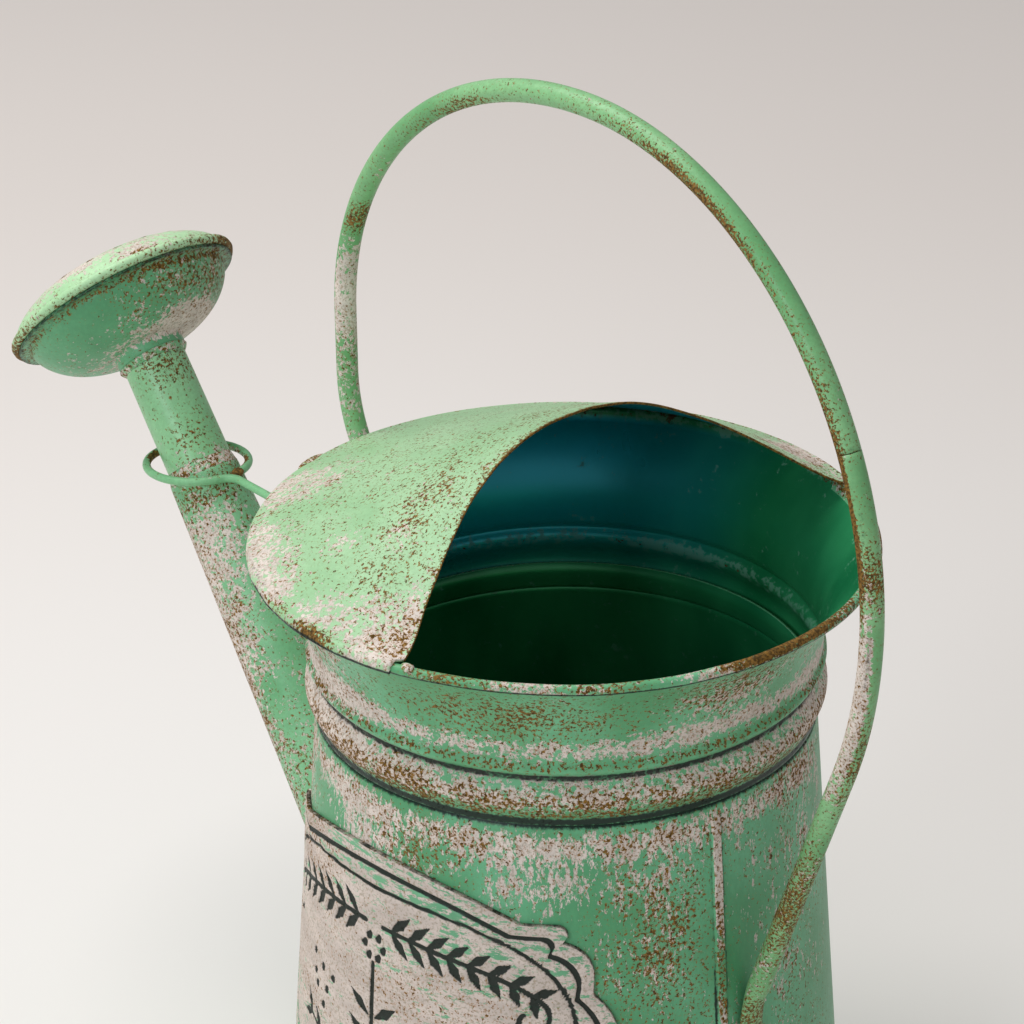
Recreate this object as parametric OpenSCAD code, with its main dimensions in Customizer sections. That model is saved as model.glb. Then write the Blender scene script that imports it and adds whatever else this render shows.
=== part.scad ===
// Half-covered watering can of painted sheet steel, all sizes in millimetres.
// The can's axis is +Z and z = 0 is the table. The spout points to -X, the handle stands in
// the XZ plane over the can, and the label plate faces -Y.

/* [Can] */
// Height of the rolled rim's centreline above the table
can_h = 215; // [190:1:250]
// Diameter of the rolled rim's centreline
rim_d = 172.2; // [166:0.1:190]
// Thickness of the rolled rim
rim_roll_d = 3; // [2.4:0.1:4]
// Diameter of the body just under the collar
shoulder_d = 142; // [130:1:150]
// Diameter of the body at its foot
foot_d = 166; // [150:1:180]
// Thickness of the sheet metal
sheet = 0.8; // [0.6:0.1:1]
// Gap left between soldered or crimped pieces
fit = 0.1; // [0.05:0.01:0.2]

/* [Collar] */
// Height of the flared collar, from the rim's centreline to its lower edge
collar_h = 49.5; // [44:0.5:60]
// Height of the wide bead at the collar's lower end
bead_h = 12.5; // [9:0.5:14]
// How far the wide bead stands out
bead_out = 2.4; // [1:0.1:3]
// Height of the narrow ridge over the wide bead
ridge_h = 4.5; // [3:0.5:6]
// How far the narrow ridge stands out
ridge_out = 1.3; // [0.6:0.1:2]

/* [Body] */
// Height of the body's neck that stands inside the collar
neck_h = 7; // [4:0.5:9]
// Width of the body's vertical lap seam
lap_w = 3.2; // [2:0.1:5]
// How far the lap seam stands out
lap_out = 0.7; // [0.4:0.1:1.2]
// Angle of the lap seam round the can
lap_angle = -6.5; // [-12:0.5:-5]
// Height of the rolled foot bead
foot_bead_h = 5; // [3:0.5:8]
// How far the foot bead stands out
foot_bead_out = 1.4; // [0.6:0.1:2]
// Height of the recessed base over the table
base_recess = 4; // [2.5:0.5:8]

/* [Hood] */
// Angle round the rim, from +X, at which the hood's free edge starts
hood_angle = 70.6; // [64:0.1:80]
// Height of the hood's crest over its seat on the rim
hood_h = 37.5; // [28:0.5:44]
// How much the hood's free edge leans towards the spout for each millimetre of height
hood_lean = 0.85; // [0.6:0.01:0.95]
// How sharply the free edge's shoulders bend
hood_shoulder = 2.16; // [1.8:0.01:3]
// How softly the free edge runs out at the rim
hood_runout = 1.35; // [1:0.01:1.6]

/* [Spout] */
// Height on the body wall at which the spout's axis comes out
spout_z = 53; // [45:1:70]
// Lean of the spout from vertical
spout_lean = 38; // [35:0.5:42]
// Outer diameter of the spout at the body wall
spout_root_d = 33; // [28:0.5:38]
// Outer diameter of the spout at its upper end
spout_tip_d = 22.8; // [21:0.1:26]
// Height of the spout's tip below the rim's centreline
tip_drop = 42.2; // [36:0.2:70]
// How far the rose's neck tube slips into the spout
neck_in = 10; // [6:1:16]
// Length of the rose's neck tube outside the spout
neck_out = 40; // [30:1:60]
// Outer diameter of the neck tube at the rose
neck_tip_d = 20.2; // [17:0.1:20.8]

/* [Rose] */
// Outer diameter of the rose's rolled rim
rose_d = 77.2; // [60:0.2:92]
// Depth of the rose's bowl
rose_depth = 15; // [12:0.2:22]
// Height of the bowl's ferrule on the neck tube
ferrule_h = 4; // [2:0.5:8]
// How far the rolled rim stands out beyond the bowl
rose_overhang = 5; // [3:0.1:6]
// How much further the rose leans than the spout
rose_tilt = 6.5; // [0:0.5:10]
// Thickness of the rose's rolled rim
rose_roll_d = 3.2; // [2:0.1:4]
// Height of the face plate's crown over the rolled rim
rose_crown = 12.2; // [8:0.5:17]
// Diameter of one spray hole
spray_d = 2; // [1.4:0.1:2.6]
// Number of rings of spray holes round the middle one
spray_rings = 3; // [1:1:3]

/* [Stay] */
// Diameter of the stay's wire
stay_d = 2.6; // [2:0.1:3.4]
// Gap between the stay's loop and the spout, on the can's side
loop_near = 0.6; // [0.5:0.1:1.5]
// Gap between the loop and the spout, on the far side
loop_far = 2.6; // [0.6:0.1:4]
// Gap between the loop and the spout's sides
loop_side = 2.8; // [0.6:0.1:4]
// Radius of the bend between the wire's stem and its loop
stay_bend_r = 5; // [3:0.5:8]
// Rise of the loop's plane towards the can
loop_tilt = 4.5; // [0:0.5:10]
// Height of the stay's loop under the rim's centreline
stay_drop = 39.2; // [38:0.5:46]

/* [Handle] */
// Diameter of the handle's tube
tube_d = 6.4; // [5:0.1:7.4]
// Height of the arch's centreline over the rim's centreline
arch_top = 130.4; // [115:0.1:150]
// How far the handle stands out behind the rim's centreline
arch_back = 32.6; // [24:0.2:44]
// Height over which the arch's front quarter rounds down
front_round = 92; // [80:1:100]
// Height over which the arch's back quarter rounds down
back_round = 112; // [100:1:125]
// Angle on the back quarter at which the two lengths of tube are butted
butt_angle = 25; // [10:1:40]
// Radius of the front foot's bend
front_bend_r = 45; // [40:1:48]
// Angle through which the front foot bends in under the rim
front_bend = 29.5; // [24:1:30]
// Radius of the back leg's bend
leg_bend_r = 130; // [110:1:160]
// Lean of the back leg's straight stretch from vertical
leg_lean = 20.5; // [17:0.1:24]
// Width of the flattened foot at the handle's lower end
foot_tab_w = 8.4; // [7:0.1:10]
// Thickness of the flattened foot
foot_tab_t = 2.6; // [2:0.1:3.4]
// Length of the flattened foot
foot_tab_l = 16; // [12:1:24]

/* [Label plate] */
// Angle of the plate's middle round the can
label_angle = -86; // [-92:0.5:-84]
// Height of the plate's middle above the table
label_z = 95; // [85:1:105]
// Height of the plate from its lower edge to its upper edge
label_h = 102; // [90:1:110]
// Width of the plate, measured round the body
label_w = 151; // [120:1:154]
// Thickness of the plate's border
label_t = 1.3; // [0.8:0.1:2]
// Depth of the plate's field below its border
label_field = 0.6; // [0.2:0.1:0.7]
// Width of the plate's border
label_border = 9; // [5:0.5:12]

/* [Hidden] */
$fn = 96;
green = "#7fbf98";
pale_green = "#a6d8b4";
worn = "#c9c0b8";
eps = 0.01;

rim_r = rim_d / 2;
roll_r = rim_roll_d / 2;
shoulder_r = shoulder_d / 2;
foot_r = foot_d / 2;
collar_z = can_h - collar_h;                 // collar's lower edge
groove = 1.2;                                // height and depth of the body's shoulder under the collar
slope = (foot_r - shoulder_r) / (collar_z - groove);
wall_lean = atan(slope);
neck_r = shoulder_r - sheet - fit;           // body's neck, outside

// Outer radius of the body's cone at height z
function wall_r(z) = foot_r - slope * z;
// The point at distance r and angle a from the centre c
function at(c, r, a) = c + r * [cos(a), sin(a)];
// Points of an arc in n steps
function arc(c, r, a0, a1, n) = [for (i = [0:n]) at(c, r, a0 + (a1 - a0) * i / n)];
// Points of a half-wave that swells out of a wall between two heights
function swell(r0, r1, z0, z1, out, n) =
    [for (i = [0:n]) [r0 + (r1 - r0) * i / n + out * pow(sin(180 * i / n), 1.3), z0 + (z1 - z0) * i / n]];
function flip(v) = [for (i = [len(v) - 1:-1:0]) v[i]];
function unit(v) = v / norm(v);
// A path moved square to itself by t, to its left
function beside(path, t) = [for (i = [0:len(path) - 1])
    let (d = unit(path[min(i + 1, len(path) - 1)] - path[max(i - 1, 0)]))
    path[i] + t * [-d.y, d.x]];

// Section of a sheet whose outer side follows the path
module sheet_section(path) {
    polygon(concat(path, flip(beside(path, sheet))));
}

// ---- body ----

neck_path = [[shoulder_r, collar_z - groove],
             [neck_r, collar_z - fit],
             [neck_r, collar_z + neck_h]];
body_path = concat([[foot_r, 0]],
                   swell(wall_r(1), wall_r(1 + foot_bead_h), 1, 1 + foot_bead_h, foot_bead_out, 10),
                   neck_path);

module body_solid(grow) {
    cylinder(h = collar_z - groove, r1 = foot_r + grow, r2 = shoulder_r + grow);
}

// The folded seam where the body's sheet is lapped and soldered
module lap_seam() {
    z0 = foot_bead_h + 1.5;
    z1 = collar_z - groove - 0.5;
    rotate([90, 0, lap_angle]) translate([0, 0, -lap_w / 2]) linear_extrude(lap_w)
        polygon([[wall_r(z0) - sheet / 2, z0], [wall_r(z0) + lap_out, z0 + 1],
                 [wall_r(z1) + lap_out, z1 - 1], [wall_r(z1) - sheet / 2, z1]]);
}

module body_wall() {
    color(green) difference() {
        union() {
            rotate_extrude() sheet_section(body_path);
            lap_seam();
        }
        on_spout(-spout_root_d) cylinder(h = 2 * spout_root_d, d = spout_root_d - 4 * sheet);
    }
}

// Dished base with a flange that is crimped inside the body's foot
module base_plate() {
    function seat_r(z) = wall_r(z) - sheet * 1.01 - fit;
    z_top = base_recess + sheet;
    color(worn) rotate_extrude()
        polygon([[0, base_recess], [seat_r(base_recess) - sheet - 1, base_recess],
                 [seat_r(0) - sheet, base_recess - 1], [seat_r(0) - sheet, 0],
                 [seat_r(0), 0], [seat_r(z_top), z_top], [0, z_top]]);
}

// ---- collar ----

bead_z = collar_z + 1.6;
ridge_z = bead_z + bead_h + 1.2;
flare_z = ridge_z + ridge_h;
rim_c = [rim_r, can_h];
// The flare leaves the collar upright and bends out to meet the rolled rim
flare_out = rim_r - shoulder_r - 1.2;
flare_up = can_h - 0.6 * roll_r - flare_z;
flare_r = (flare_out * flare_out + flare_up * flare_up) / (2 * flare_out);
flare_c = [shoulder_r + 1.2 + flare_r, flare_z];
// Angle, seen from the flare's centre, at which the flare meets the rolled rim
flare_end = atan2(flare_up, rim_r - flare_c.x);

collar_path = concat([[shoulder_r, collar_z]],
                     swell(shoulder_r, shoulder_r + 0.4, bead_z, bead_z + bead_h, bead_out, 12),
                     swell(shoulder_r + 0.6, shoulder_r + 1.2, ridge_z, flare_z, ridge_out, 8),
                     [for (p = arc(flare_c, flare_r, 180, flare_end, 16)) if (p.y > flare_z + 0.5) p]);

module neck_collar() {
    color(green) rotate_extrude() union() {
        sheet_section(collar_path);
        translate(rim_c) circle(r = roll_r);
    }
}

// ---- hood ----

lip_in = roll_r + fit;                       // radius of the hood's curled lip, inside
lip_out = lip_in + sheet;
crest_n = 56;                                // strips from one end of the hood to the other
rise_n = 12;                                 // steps from the rim to the free edge
lip_n = 5;
corner = 0.985;                              // the free edge stops this share of the way to the rim
hood_ease = 0.0044;                          // how the free edge's lean eases off with height

// Height and place of the free edge at share w of its half width
function edge_h(w) = hood_h * pow(1 - pow(abs(w), hood_shoulder), hood_runout);
function edge_pt(w, t) = let (h = edge_h(w))
    [rim_r * cos(hood_angle) - hood_lean * h + hood_ease * h * h,
     rim_r * sin(hood_angle) * w, can_h + t + h];
// Angle round the rim at which the strip at share w is seated
function seat_angle(w) = (hood_angle + (180 - hood_angle) * (1 - abs(w))) * sign(w);
function seat_pt(w, t) = let (a = w == 0 ? 180 : seat_angle(w))
    [rim_r * cos(a), rim_r * sin(a), can_h + t];
function lip_pt(w, t, b) = let (a = w == 0 ? 180 : seat_angle(w), r = rim_r + t * cos(b))
    [r * cos(a), r * sin(a), can_h + t * sin(b)];
// One strip of the sheet, from the curled lip over the rim and up to the free edge
function hood_strip(w, t) = concat(
    [for (i = [0:lip_n - 1]) lip_pt(w, t, -25 + 115 * i / lip_n)],
    [for (j = [0:rise_n]) let (v = j / rise_n) seat_pt(w, t) * (1 - v) + edge_pt(w, t) * v]);

module hood() {
    ws = [for (i = [0:crest_n]) corner * (2 * i / crest_n - 1)];
    m = lip_n + rise_n + 1;
    outer = [for (w = ws) each hood_strip(w, lip_out)];
    inner = [for (w = ws) each hood_strip(w, lip_in)];
    n = len(outer);
    function quad(a, b, c, d) = [[a, b, c], [a, c, d]];
    faces = concat(
        [for (i = [0:crest_n - 1], j = [0:m - 2])
            each quad(i * m + j, (i + 1) * m + j, (i + 1) * m + j + 1, i * m + j + 1)],
        [for (i = [0:crest_n - 1], j = [0:m - 2])
            each quad(n + i * m + j, n + i * m + j + 1, n + (i + 1) * m + j + 1, n + (i + 1) * m + j)],
        [for (i = [0:crest_n - 1], j = [0, m - 1])
            each (j == 0 ? quad(i * m, n + i * m, n + (i + 1) * m, (i + 1) * m)
                         : quad(i * m + j, (i + 1) * m + j, n + (i + 1) * m + j, n + i * m + j))],
        [for (i = [0, crest_n], j = [0:m - 2])
            each (i == 0 ? quad(j, j + 1, n + j + 1, n + j)
                         : quad(i * m + j, n + i * m + j, n + i * m + j + 1, i * m + j + 1))]);
    color(pale_green) polyhedron(concat(outer, inner), faces);
}

// ---- spout and rose ----

spout_len = (can_h - tip_drop - spout_z) / cos(spout_lean);

module on_spout(s) {
    translate([-wall_r(spout_z), 0, spout_z]) rotate([0, -spout_lean, 0]) translate([0, 0, s])
        children();
}

// A round tapered tube with a wall as thick as the sheet
module taper_tube(len, d0, d1) {
    difference() {
        cylinder(h = len, d1 = d0, d2 = d1);
        translate([0, 0, -eps])
            cylinder(h = len + 2 * eps, d1 = d0 - 2 * sheet, d2 = d1 - 2 * sheet);
    }
}

spout_taper = (spout_root_d - spout_tip_d) / spout_len;
function spout_d(s) = spout_root_d - spout_taper * s;

module spout_tube() {
    root = spout_root_d;
    color(green) difference() {
        on_spout(-root) taper_tube(spout_len + root, spout_d(-root), spout_tip_d);
        body_solid(fit);
    }
}

rose_s = spout_len + neck_out;               // where the neck tube meets the bowl
neck_root_d = spout_d(spout_len) - 2 * sheet - 2 * fit;

module rose_neck() {
    color(green) on_spout(spout_len - neck_in)
        taper_tube(neck_in + neck_out, neck_root_d, neck_tip_d);
}

rose_r = (rose_d - rose_roll_d) / 2;
bowl_r = rose_d / 2 - rose_overhang;
ferrule_r = neck_tip_d / 2 + 0.4 + sheet;        // the bowl's ferrule slips askew over the neck tube
rose_end = ferrule_h + rose_depth;
bowl_path = concat([[ferrule_r, 0], [ferrule_r, ferrule_h - 0.5]],
    [for (i = [0:14]) let (a = 90 * i / 14)
        [ferrule_r + 0.4 + (bowl_r - ferrule_r - 0.4) * sin(a), 
            ferrule_h + (rose_depth - 1) * (1 - pow(cos(a), 1.3))]],
    [[bowl_r + 0.3, rose_end - 0.3], [rose_r, rose_end]]);

// Places its children along the rose's own axis, from the foot of the ferrule
module on_rose(s) {
    on_spout(rose_s) rotate([0, -rose_tilt, 0]) translate([0, 0, s]) children();
}

module rose_bowl() {
    color(pale_green) on_rose(0) rotate_extrude() sheet_section(bowl_path);
}

// Convex face plate, pierced with spray holes, its edge rolled over the bowl's rim
module rose_face() {
    face_s = rose_end + sheet + fit + rose_roll_d / 2;
    crown_path = concat([for (i = [0:15]) let (a = 90 * i / 16)
        [rose_r * pow(cos(a), 0.75), rose_crown * pow(sin(a), 1.2)]],
        [[1, rose_crown], [0, rose_crown]]);
    color(worn) on_rose(face_s) difference() {
        rotate_extrude() union() {
            sheet_section(crown_path);
            translate([rose_r, 0]) circle(d = rose_roll_d, $fn = 32);
        }
        cylinder(h = 2 * rose_crown, d = spray_d, $fn = 16);
        for (ring = [1:spray_rings], i = [0:6 * ring - 1])
            rotate(360 * i / (6 * ring)) translate([ring * rose_r / (spray_rings + 1), 0, 0])
                cylinder(h = 2 * rose_crown, d = spray_d, $fn = 16);
    }
}

// ---- stay ----

stay_z = can_h - stay_drop;
stay_s = (stay_z - spout_z) / cos(spout_lean);          // where the loop's plane cuts the spout's axis
stay_r = spout_d(stay_s) / 2;
loop_a = stay_r / cos(spout_lean) + (stay_d + loop_near + loop_far) / 2;    // half length along X
loop_b = stay_r + stay_d / 2 + loop_side;                                   // half width along Y
loop_x = -wall_r(spout_z) - stay_s * sin(spout_lean) - (loop_far - loop_near) / 2;
loop_stop = -344;                            // angle at which the wire's free end meets the stem
function collar_out(z) = shoulder_r + 0.2 + bead_out * pow(sin(180 * (z - bead_z) / bead_h), 1.3);

// A tube swept along a path of points. Each size holds the section's width, measured along
// the direction wide, and its thickness square to that.
module swept_tube(path, size, sides, wide) {
    n = len(path);
    pts = [for (i = [0:n - 1], k = [0:sides - 1])
        let (d = unit(path[min(i + 1, n - 1)] - path[max(i - 1, 0)]),
             side = unit(cross(wide, d)), up = cross(d, side), b = 360 * k / sides)
        path[i] + size[i].y / 2 * cos(b) * side + size[i].x / 2 * sin(b) * up];
    function id(i, k) = i * sides + k % sides;
    walls = [for (i = [0:n - 2], k = [0:sides - 1])
        each [[id(i, k), id(i + 1, k + 1), id(i, k + 1)], [id(i, k), id(i + 1, k), id(i + 1, k + 1)]]];
    caps = [[for (k = [0:sides - 1]) id(0, k)], [for (k = [sides - 1:-1:0]) id(n - 1, k)]];
    polyhedron(pts, concat(walls, caps));
}

// The wire's route on a round loop: along the stem, round a bend, then round the loop
bend_angle = -asin(stay_bend_r / (loop_b + stay_bend_r));
bend_c = [(loop_b + stay_bend_r) * cos(bend_angle), -stay_bend_r];
stem_x = -collar_out(stay_z) - 3 * fit - loop_x;
round_route = concat([for (i = [0:2]) [stem_x * loop_b / loop_a * (3 - i) / 3 + bend_c.x * i / 3, 0]],
    arc(bend_c, stay_bend_r, 90, 180 + bend_angle, 6),
    skip([for (i = [0:42]) let (a = bend_angle + (loop_stop - bend_angle) * i / 42)
        loop_b * [cos(a), sin(a)]]));
// The same route stretched along X and tilted
stay_route = [for (p = round_route) [p.x * loop_a / loop_b, p.y,
                                     min(p.x, bend_c.x) * loop_a / loop_b * tan(loop_tilt)]];

module stay_wire() {
    color(green) translate([loop_x, 0, stay_z])
        swept_tube(stay_route, [for (p = stay_route) [stay_d, stay_d]], 12, [0, 0, 1]);
}

// ---- handle ----

foot_clear = 0.3;                            // the front foot's height over the middle of its curled edge
// The front foot's inner edge lies against the hood's curled lip; the bend carries it out to the arch
front_x = -(rim_r + lip_out + tube_d / 2 * cos(front_bend) + front_bend_r * (1 - cos(front_bend)));
back_x = rim_r + arch_back;
arch_x = (front_x + back_x) / 2;
arch_half_w = (back_x - front_x) / 2;

// Points of a quarter of the arch that rounds down over the height rise
function arch_quarter(rise, a0, a1, n) = [for (i = [0:n]) let (a = a0 + (a1 - a0) * i / n)
    [arch_x + arch_half_w * cos(a), can_h + arch_top - rise + rise * sin(a)]];

front_end = [front_x, can_h + arch_top - front_round];
front_c = [front_end.x + front_bend_r, can_h + front_bend_r * sin(front_bend) - tube_d / 2 + foot_clear];
front_path = concat(arc(front_c, front_bend_r, 180 + front_bend, 180, 5),
                    arch_quarter(front_round, 180, 90, 22),
                    skip(arch_quarter(back_round, 90, butt_angle, 16)));
function skip(v) = [for (i = [1:len(v) - 1]) v[i]];
function in_xz(path) = [for (p = path) [p.x, 0, p.y]];

module handle_arch() {
    color(green) swept_tube(in_xz(front_path), [for (p = front_path) [tube_d, tube_d]], 20, [0, 1, 0]);
}

back_end = [back_x, can_h + arch_top - back_round];
leg_top = at(back_end - [leg_bend_r, 0], leg_bend_r, -leg_lean);
leg_dir = [-sin(leg_lean), -cos(leg_lean)];
butt_gap = 0.12;                             // angle left between the two lengths of tube
crush_clear = 2.2;                           // the tube's distance from the wall where it is crushed
tab_clear = fit + 0.2;                       // the flattened foot's distance from the wall
// Distance of the tube's middle from the wall where the crush begins and where it ends
crush_off = tube_d / 2 + crush_clear;
tab_off = foot_tab_t / 2 + tab_clear;
leg_l = (leg_top.x - wall_r(leg_top.y) - crush_off) / (sin(leg_lean) + slope * cos(leg_lean));
leg_end = leg_top + leg_l * leg_dir;
// The crushed stretch curves in evenly, from the leg's lean to the wall's
crush_l = 2 * (crush_off - tab_off) / (tan(leg_lean) + slope);
crush_n = 6;
leg_round = concat(arch_quarter(back_round, butt_angle - butt_gap, 0, 7),
                   skip(arc(back_end - [leg_bend_r, 0], leg_bend_r, 0, -leg_lean, 8)),
                   [for (i = [1:8]) leg_top + leg_l * i / 8 * leg_dir]);
// Share of the tube's roundness that is left at step i of the crush
function left_round(i) = pow(1 - i / crush_n, 2);
leg_crush = [for (i = [1:crush_n]) let (z = leg_end.y - crush_l * i / crush_n)
    [wall_r(z) + tab_off + (crush_off - tab_off) * left_round(i), z]];
leg_tab = [for (i = [1:3]) let (z = leg_end.y - crush_l - foot_tab_l * i / 3)
    [wall_r(z) + tab_off, z]];
leg_path = concat(leg_round, leg_crush, leg_tab);
leg_size = concat([for (p = leg_round) [tube_d, tube_d]],
    [for (i = [1:crush_n]) [foot_tab_w, foot_tab_t]
        + left_round(i) * [tube_d - foot_tab_w, tube_d - foot_tab_t]],
    [for (p = leg_tab) [foot_tab_w, foot_tab_t]]);

module handle_leg() {
    color(green) swept_tube(in_xz(leg_path), leg_size, 20, [0, 1, 0]);
}

// ---- label plate ----

// Right half of the plate's outline, grown by g: an arched top, a stepped shoulder and two lobes,
// listed from the top's middle down to the side's middle
function half_outline(g) =
    let (w = label_w / 2 + g, h = label_h / 2 + g,
         arch_w = 0.6 * w, arch_rise = 0.2 * h,
         big_r = (arch_w * arch_w + arch_rise * arch_rise) / (2 * arch_rise),
         half = asin(arch_w / big_r),
         shoulder = h - arch_rise,
         lobe1 = 0.15 * w, lobe2 = 0.34 * w,
         step = 0.77 * w - 2)
    concat(arc([0, h - big_r], big_r, 90, 90 - half, 7),
           arc([step - 1, shoulder - 3], 3, 90, 0, 3),
           arc([step + 2 - lobe1 + 8, shoulder - 5 - lobe1], lobe1, 80, 10, 5),
           arc([w - lobe2, 0], lobe2, 50, 0, 6));
function outline(g) = let (q = half_outline(g), n = len(q)) concat(
    q,
    [for (i = [n - 2:-1:0]) [q[i].x, -q[i].y]],
    [for (i = [1:n - 1]) [-q[i].x, -q[i].y]],
    [for (i = [n - 2:-1:1]) [-q[i].x, q[i].y]]);

label_r = wall_r(label_z);
// A point measured round the body, as it is seen straight on
function wrapped(p) = [label_r * sin(p.x * 180 / (PI * label_r)), p.y];

// A prism that cuts the plate's outline out of a wall
module label_prism(g) {
    rotate([0, 0, label_angle + 90]) translate([0, 0, label_z]) rotate([90, 0, 0])
        linear_extrude(foot_d) polygon([for (p = outline(g)) wrapped(p)]);
}

module label_plate() {
    color(worn) difference() {
        intersection() {
            body_solid(fit + label_t);
            label_prism(0);
        }
        body_solid(fit);
        difference() {
            intersection() {
                body_solid(fit + label_t + 1);
                label_prism(-label_border);
            }
            body_solid(fit + label_t - label_field);
        }
    }
}

body_wall();
base_plate();
neck_collar();
hood();
spout_tube();
rose_neck();
rose_bowl();
rose_face();
stay_wire();
handle_arch();
handle_leg();
label_plate();
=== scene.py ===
import math

import bmesh
import bpy
import numpy as np
from mathutils import Matrix, Vector
from mathutils.geometry import delaunay_2d_cdt


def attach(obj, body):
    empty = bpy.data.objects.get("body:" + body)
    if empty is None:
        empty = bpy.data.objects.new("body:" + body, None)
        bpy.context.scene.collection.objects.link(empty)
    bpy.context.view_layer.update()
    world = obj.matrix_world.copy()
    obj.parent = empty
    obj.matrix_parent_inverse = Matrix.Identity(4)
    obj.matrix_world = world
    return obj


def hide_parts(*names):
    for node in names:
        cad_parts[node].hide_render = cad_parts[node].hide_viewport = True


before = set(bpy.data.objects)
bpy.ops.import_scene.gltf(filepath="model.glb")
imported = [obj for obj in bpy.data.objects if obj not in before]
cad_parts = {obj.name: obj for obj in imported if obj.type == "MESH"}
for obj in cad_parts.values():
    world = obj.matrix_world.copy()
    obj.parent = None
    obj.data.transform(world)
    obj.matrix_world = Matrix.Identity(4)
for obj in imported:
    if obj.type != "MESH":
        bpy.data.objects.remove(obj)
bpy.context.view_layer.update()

# ---- the view ----
# The can is seen from above its right shoulder, so that the hood, the open mouth and the handle
# all show. Sizes in this file are in millimetres, as on the maker's drawing; MM turns them to metres.
MM = 0.001

turn, tilt, roll = (math.radians(a) for a in (50.0, 26.3133, -0.6301))
back = Vector((math.sin(turn) * math.cos(tilt), -math.cos(turn) * math.cos(tilt), math.sin(tilt)))
right = Vector((math.cos(turn), math.sin(turn), 0))
up = back.cross(right)
right, up = (math.cos(roll) * right + math.sin(roll) * up,
             math.cos(roll) * up - math.sin(roll) * right)
camera = bpy.data.objects.new("camera", bpy.data.cameras.new("camera"))
bpy.context.collection.objects.link(camera)
camera.matrix_world = Matrix.Translation((0.712976, -0.617470, 0.690213)) @ \
    Matrix((right, up, back)).transposed().to_4x4()
camera.data.lens = 133.83
camera.data.sensor_width = 36
bpy.context.scene.camera = camera


# ---- the table and the light ----
# A plain pale table top that turns a little greyer away from the can, under one wide soft lamp
# overhead, a weaker one from the window side, and even light from all round.
def linear(r, g, b):
    """A colour as it is seen on a screen, 0 to 255, as the shader wants it."""
    steps = [c / 255 for c in (r, g, b)]
    return (*[c / 12.92 if c <= 0.04045 else ((c + 0.055) / 1.055) ** 2.4 for c in steps], 1)


class Field:
    """A value that changes over a surface: Python arithmetic on it adds the shader's Math nodes."""

    def __init__(self, tree, socket=None):
        self.tree, self.socket = tree, socket

    def node(self, kind, settings=None, inputs=None, out=0):
        """Adds any other node: its settings, then the values or links of its sockets."""
        made = self.tree.nodes.new(kind)
        for key, value in (settings or {}).items():
            setattr(made, key, value)
        for key, value in (inputs or {}).items():
            if isinstance(value, Field):
                self.tree.links.new(value.socket, made.inputs[key])
            else:
                made.inputs[key].default_value = value
        return Field(self.tree, made.outputs[out])

    def math(self, operation, first, second=0.0):
        return self.node("ShaderNodeMath", {"operation": operation}, {0: first, 1: second})

    def __add__(self, other):
        return self.math("ADD", self, other)

    def __sub__(self, other):
        return self.math("SUBTRACT", self, other)

    def __rsub__(self, other):
        return self.math("SUBTRACT", other, self)

    def __mul__(self, other):
        return self.math("MULTIPLY", self, other)

    __radd__, __rmul__ = __add__, __mul__

    def ramp(self, low, high):
        """0 at low and 1 at high, with soft ends."""
        return self.node("ShaderNodeMapRange", {"interpolation_type": "SMOOTHSTEP"},
                         {"Value": self, "From Min": low, "From Max": high}, "Result")

    def mix(self, below, above):
        """The colour above where this value is 1, and the colour below where it is 0. Each is a
        field or a plain colour as it is seen on a screen."""
        below, above = (c if isinstance(c, Field) else linear(*c) for c in (below, above))
        return self.node("ShaderNodeMix", {"data_type": "RGBA"}, {0: self, 6: below, 7: above}, 2)

    def stretch(self, x, y, z):
        return self.node("ShaderNodeVectorMath", {"operation": "MULTIPLY"}, {0: self, 1: (x, y, z)})

    def grain(self, size, detail=2.0, rough=0.55, seed=0.0):
        """Cloudy noise round 0.5 whose largest lumps are about this many millimetres across."""
        place = self.node("ShaderNodeVectorMath", {"operation": "MULTIPLY_ADD"},
                          {0: self, 1: (1 / size,) * 3, 2: (seed, 1.7 * seed, -2.3 * seed)})
        return self.node("ShaderNodeTexNoise", {}, {"Vector": place, "Scale": 1.0, "Detail": detail,
                                                    "Roughness": rough}, "Fac")

    def bump(self, strength):
        """The surface's direction where this value is its height, in steps of 0.3 mm."""
        return self.node("ShaderNodeBump", {}, {"Strength": strength, "Distance": 0.3 * MM,
                                                "Height": self}, "Normal")


def new_material(name):
    """An empty material: the field that starts its nodes, the surface's place in millimetres."""
    made = bpy.data.materials.new(name)
    made.use_nodes = True
    made.node_tree.nodes.clear()
    start = Field(made.node_tree)
    return made, start, start.node("ShaderNodeTexCoord", out="Object").stretch(1000, 1000, 1000)


def finish_material(start, **sockets):
    shader = start.node("ShaderNodeBsdfPrincipled", {}, {k.replace("_", " "): v
                                                         for k, v in sockets.items()})
    output = start.tree.nodes.new("ShaderNodeOutputMaterial")
    start.tree.links.new(shader.socket, output.inputs["Surface"])


bpy.context.scene.view_settings.view_transform = "Standard"
table_made, start, place = new_material("table_top")
reach = start.node("ShaderNodeVectorMath", {"operation": "LENGTH"}, {0: place}, "Value")
finish_material(start, Base_Color=reach.ramp(150, 900).mix((234, 231, 228), (222, 215, 210)),
                Roughness=0.8)
TABLE_R, TABLE_DROP, TABLE_SIDES = 4.0, 0.0001, 96
corners = [(TABLE_R * math.cos(k * 2 * math.pi / TABLE_SIDES),
            TABLE_R * math.sin(k * 2 * math.pi / TABLE_SIDES), -TABLE_DROP)
           for k in range(TABLE_SIDES)]
table_mesh = bpy.data.meshes.new("table_top")
table_mesh.from_pydata(corners, [], [list(range(TABLE_SIDES))])
table_mesh.materials.append(table_made)
table_top = bpy.data.objects.new("table_top", table_mesh)
bpy.context.collection.objects.link(table_top)

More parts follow.
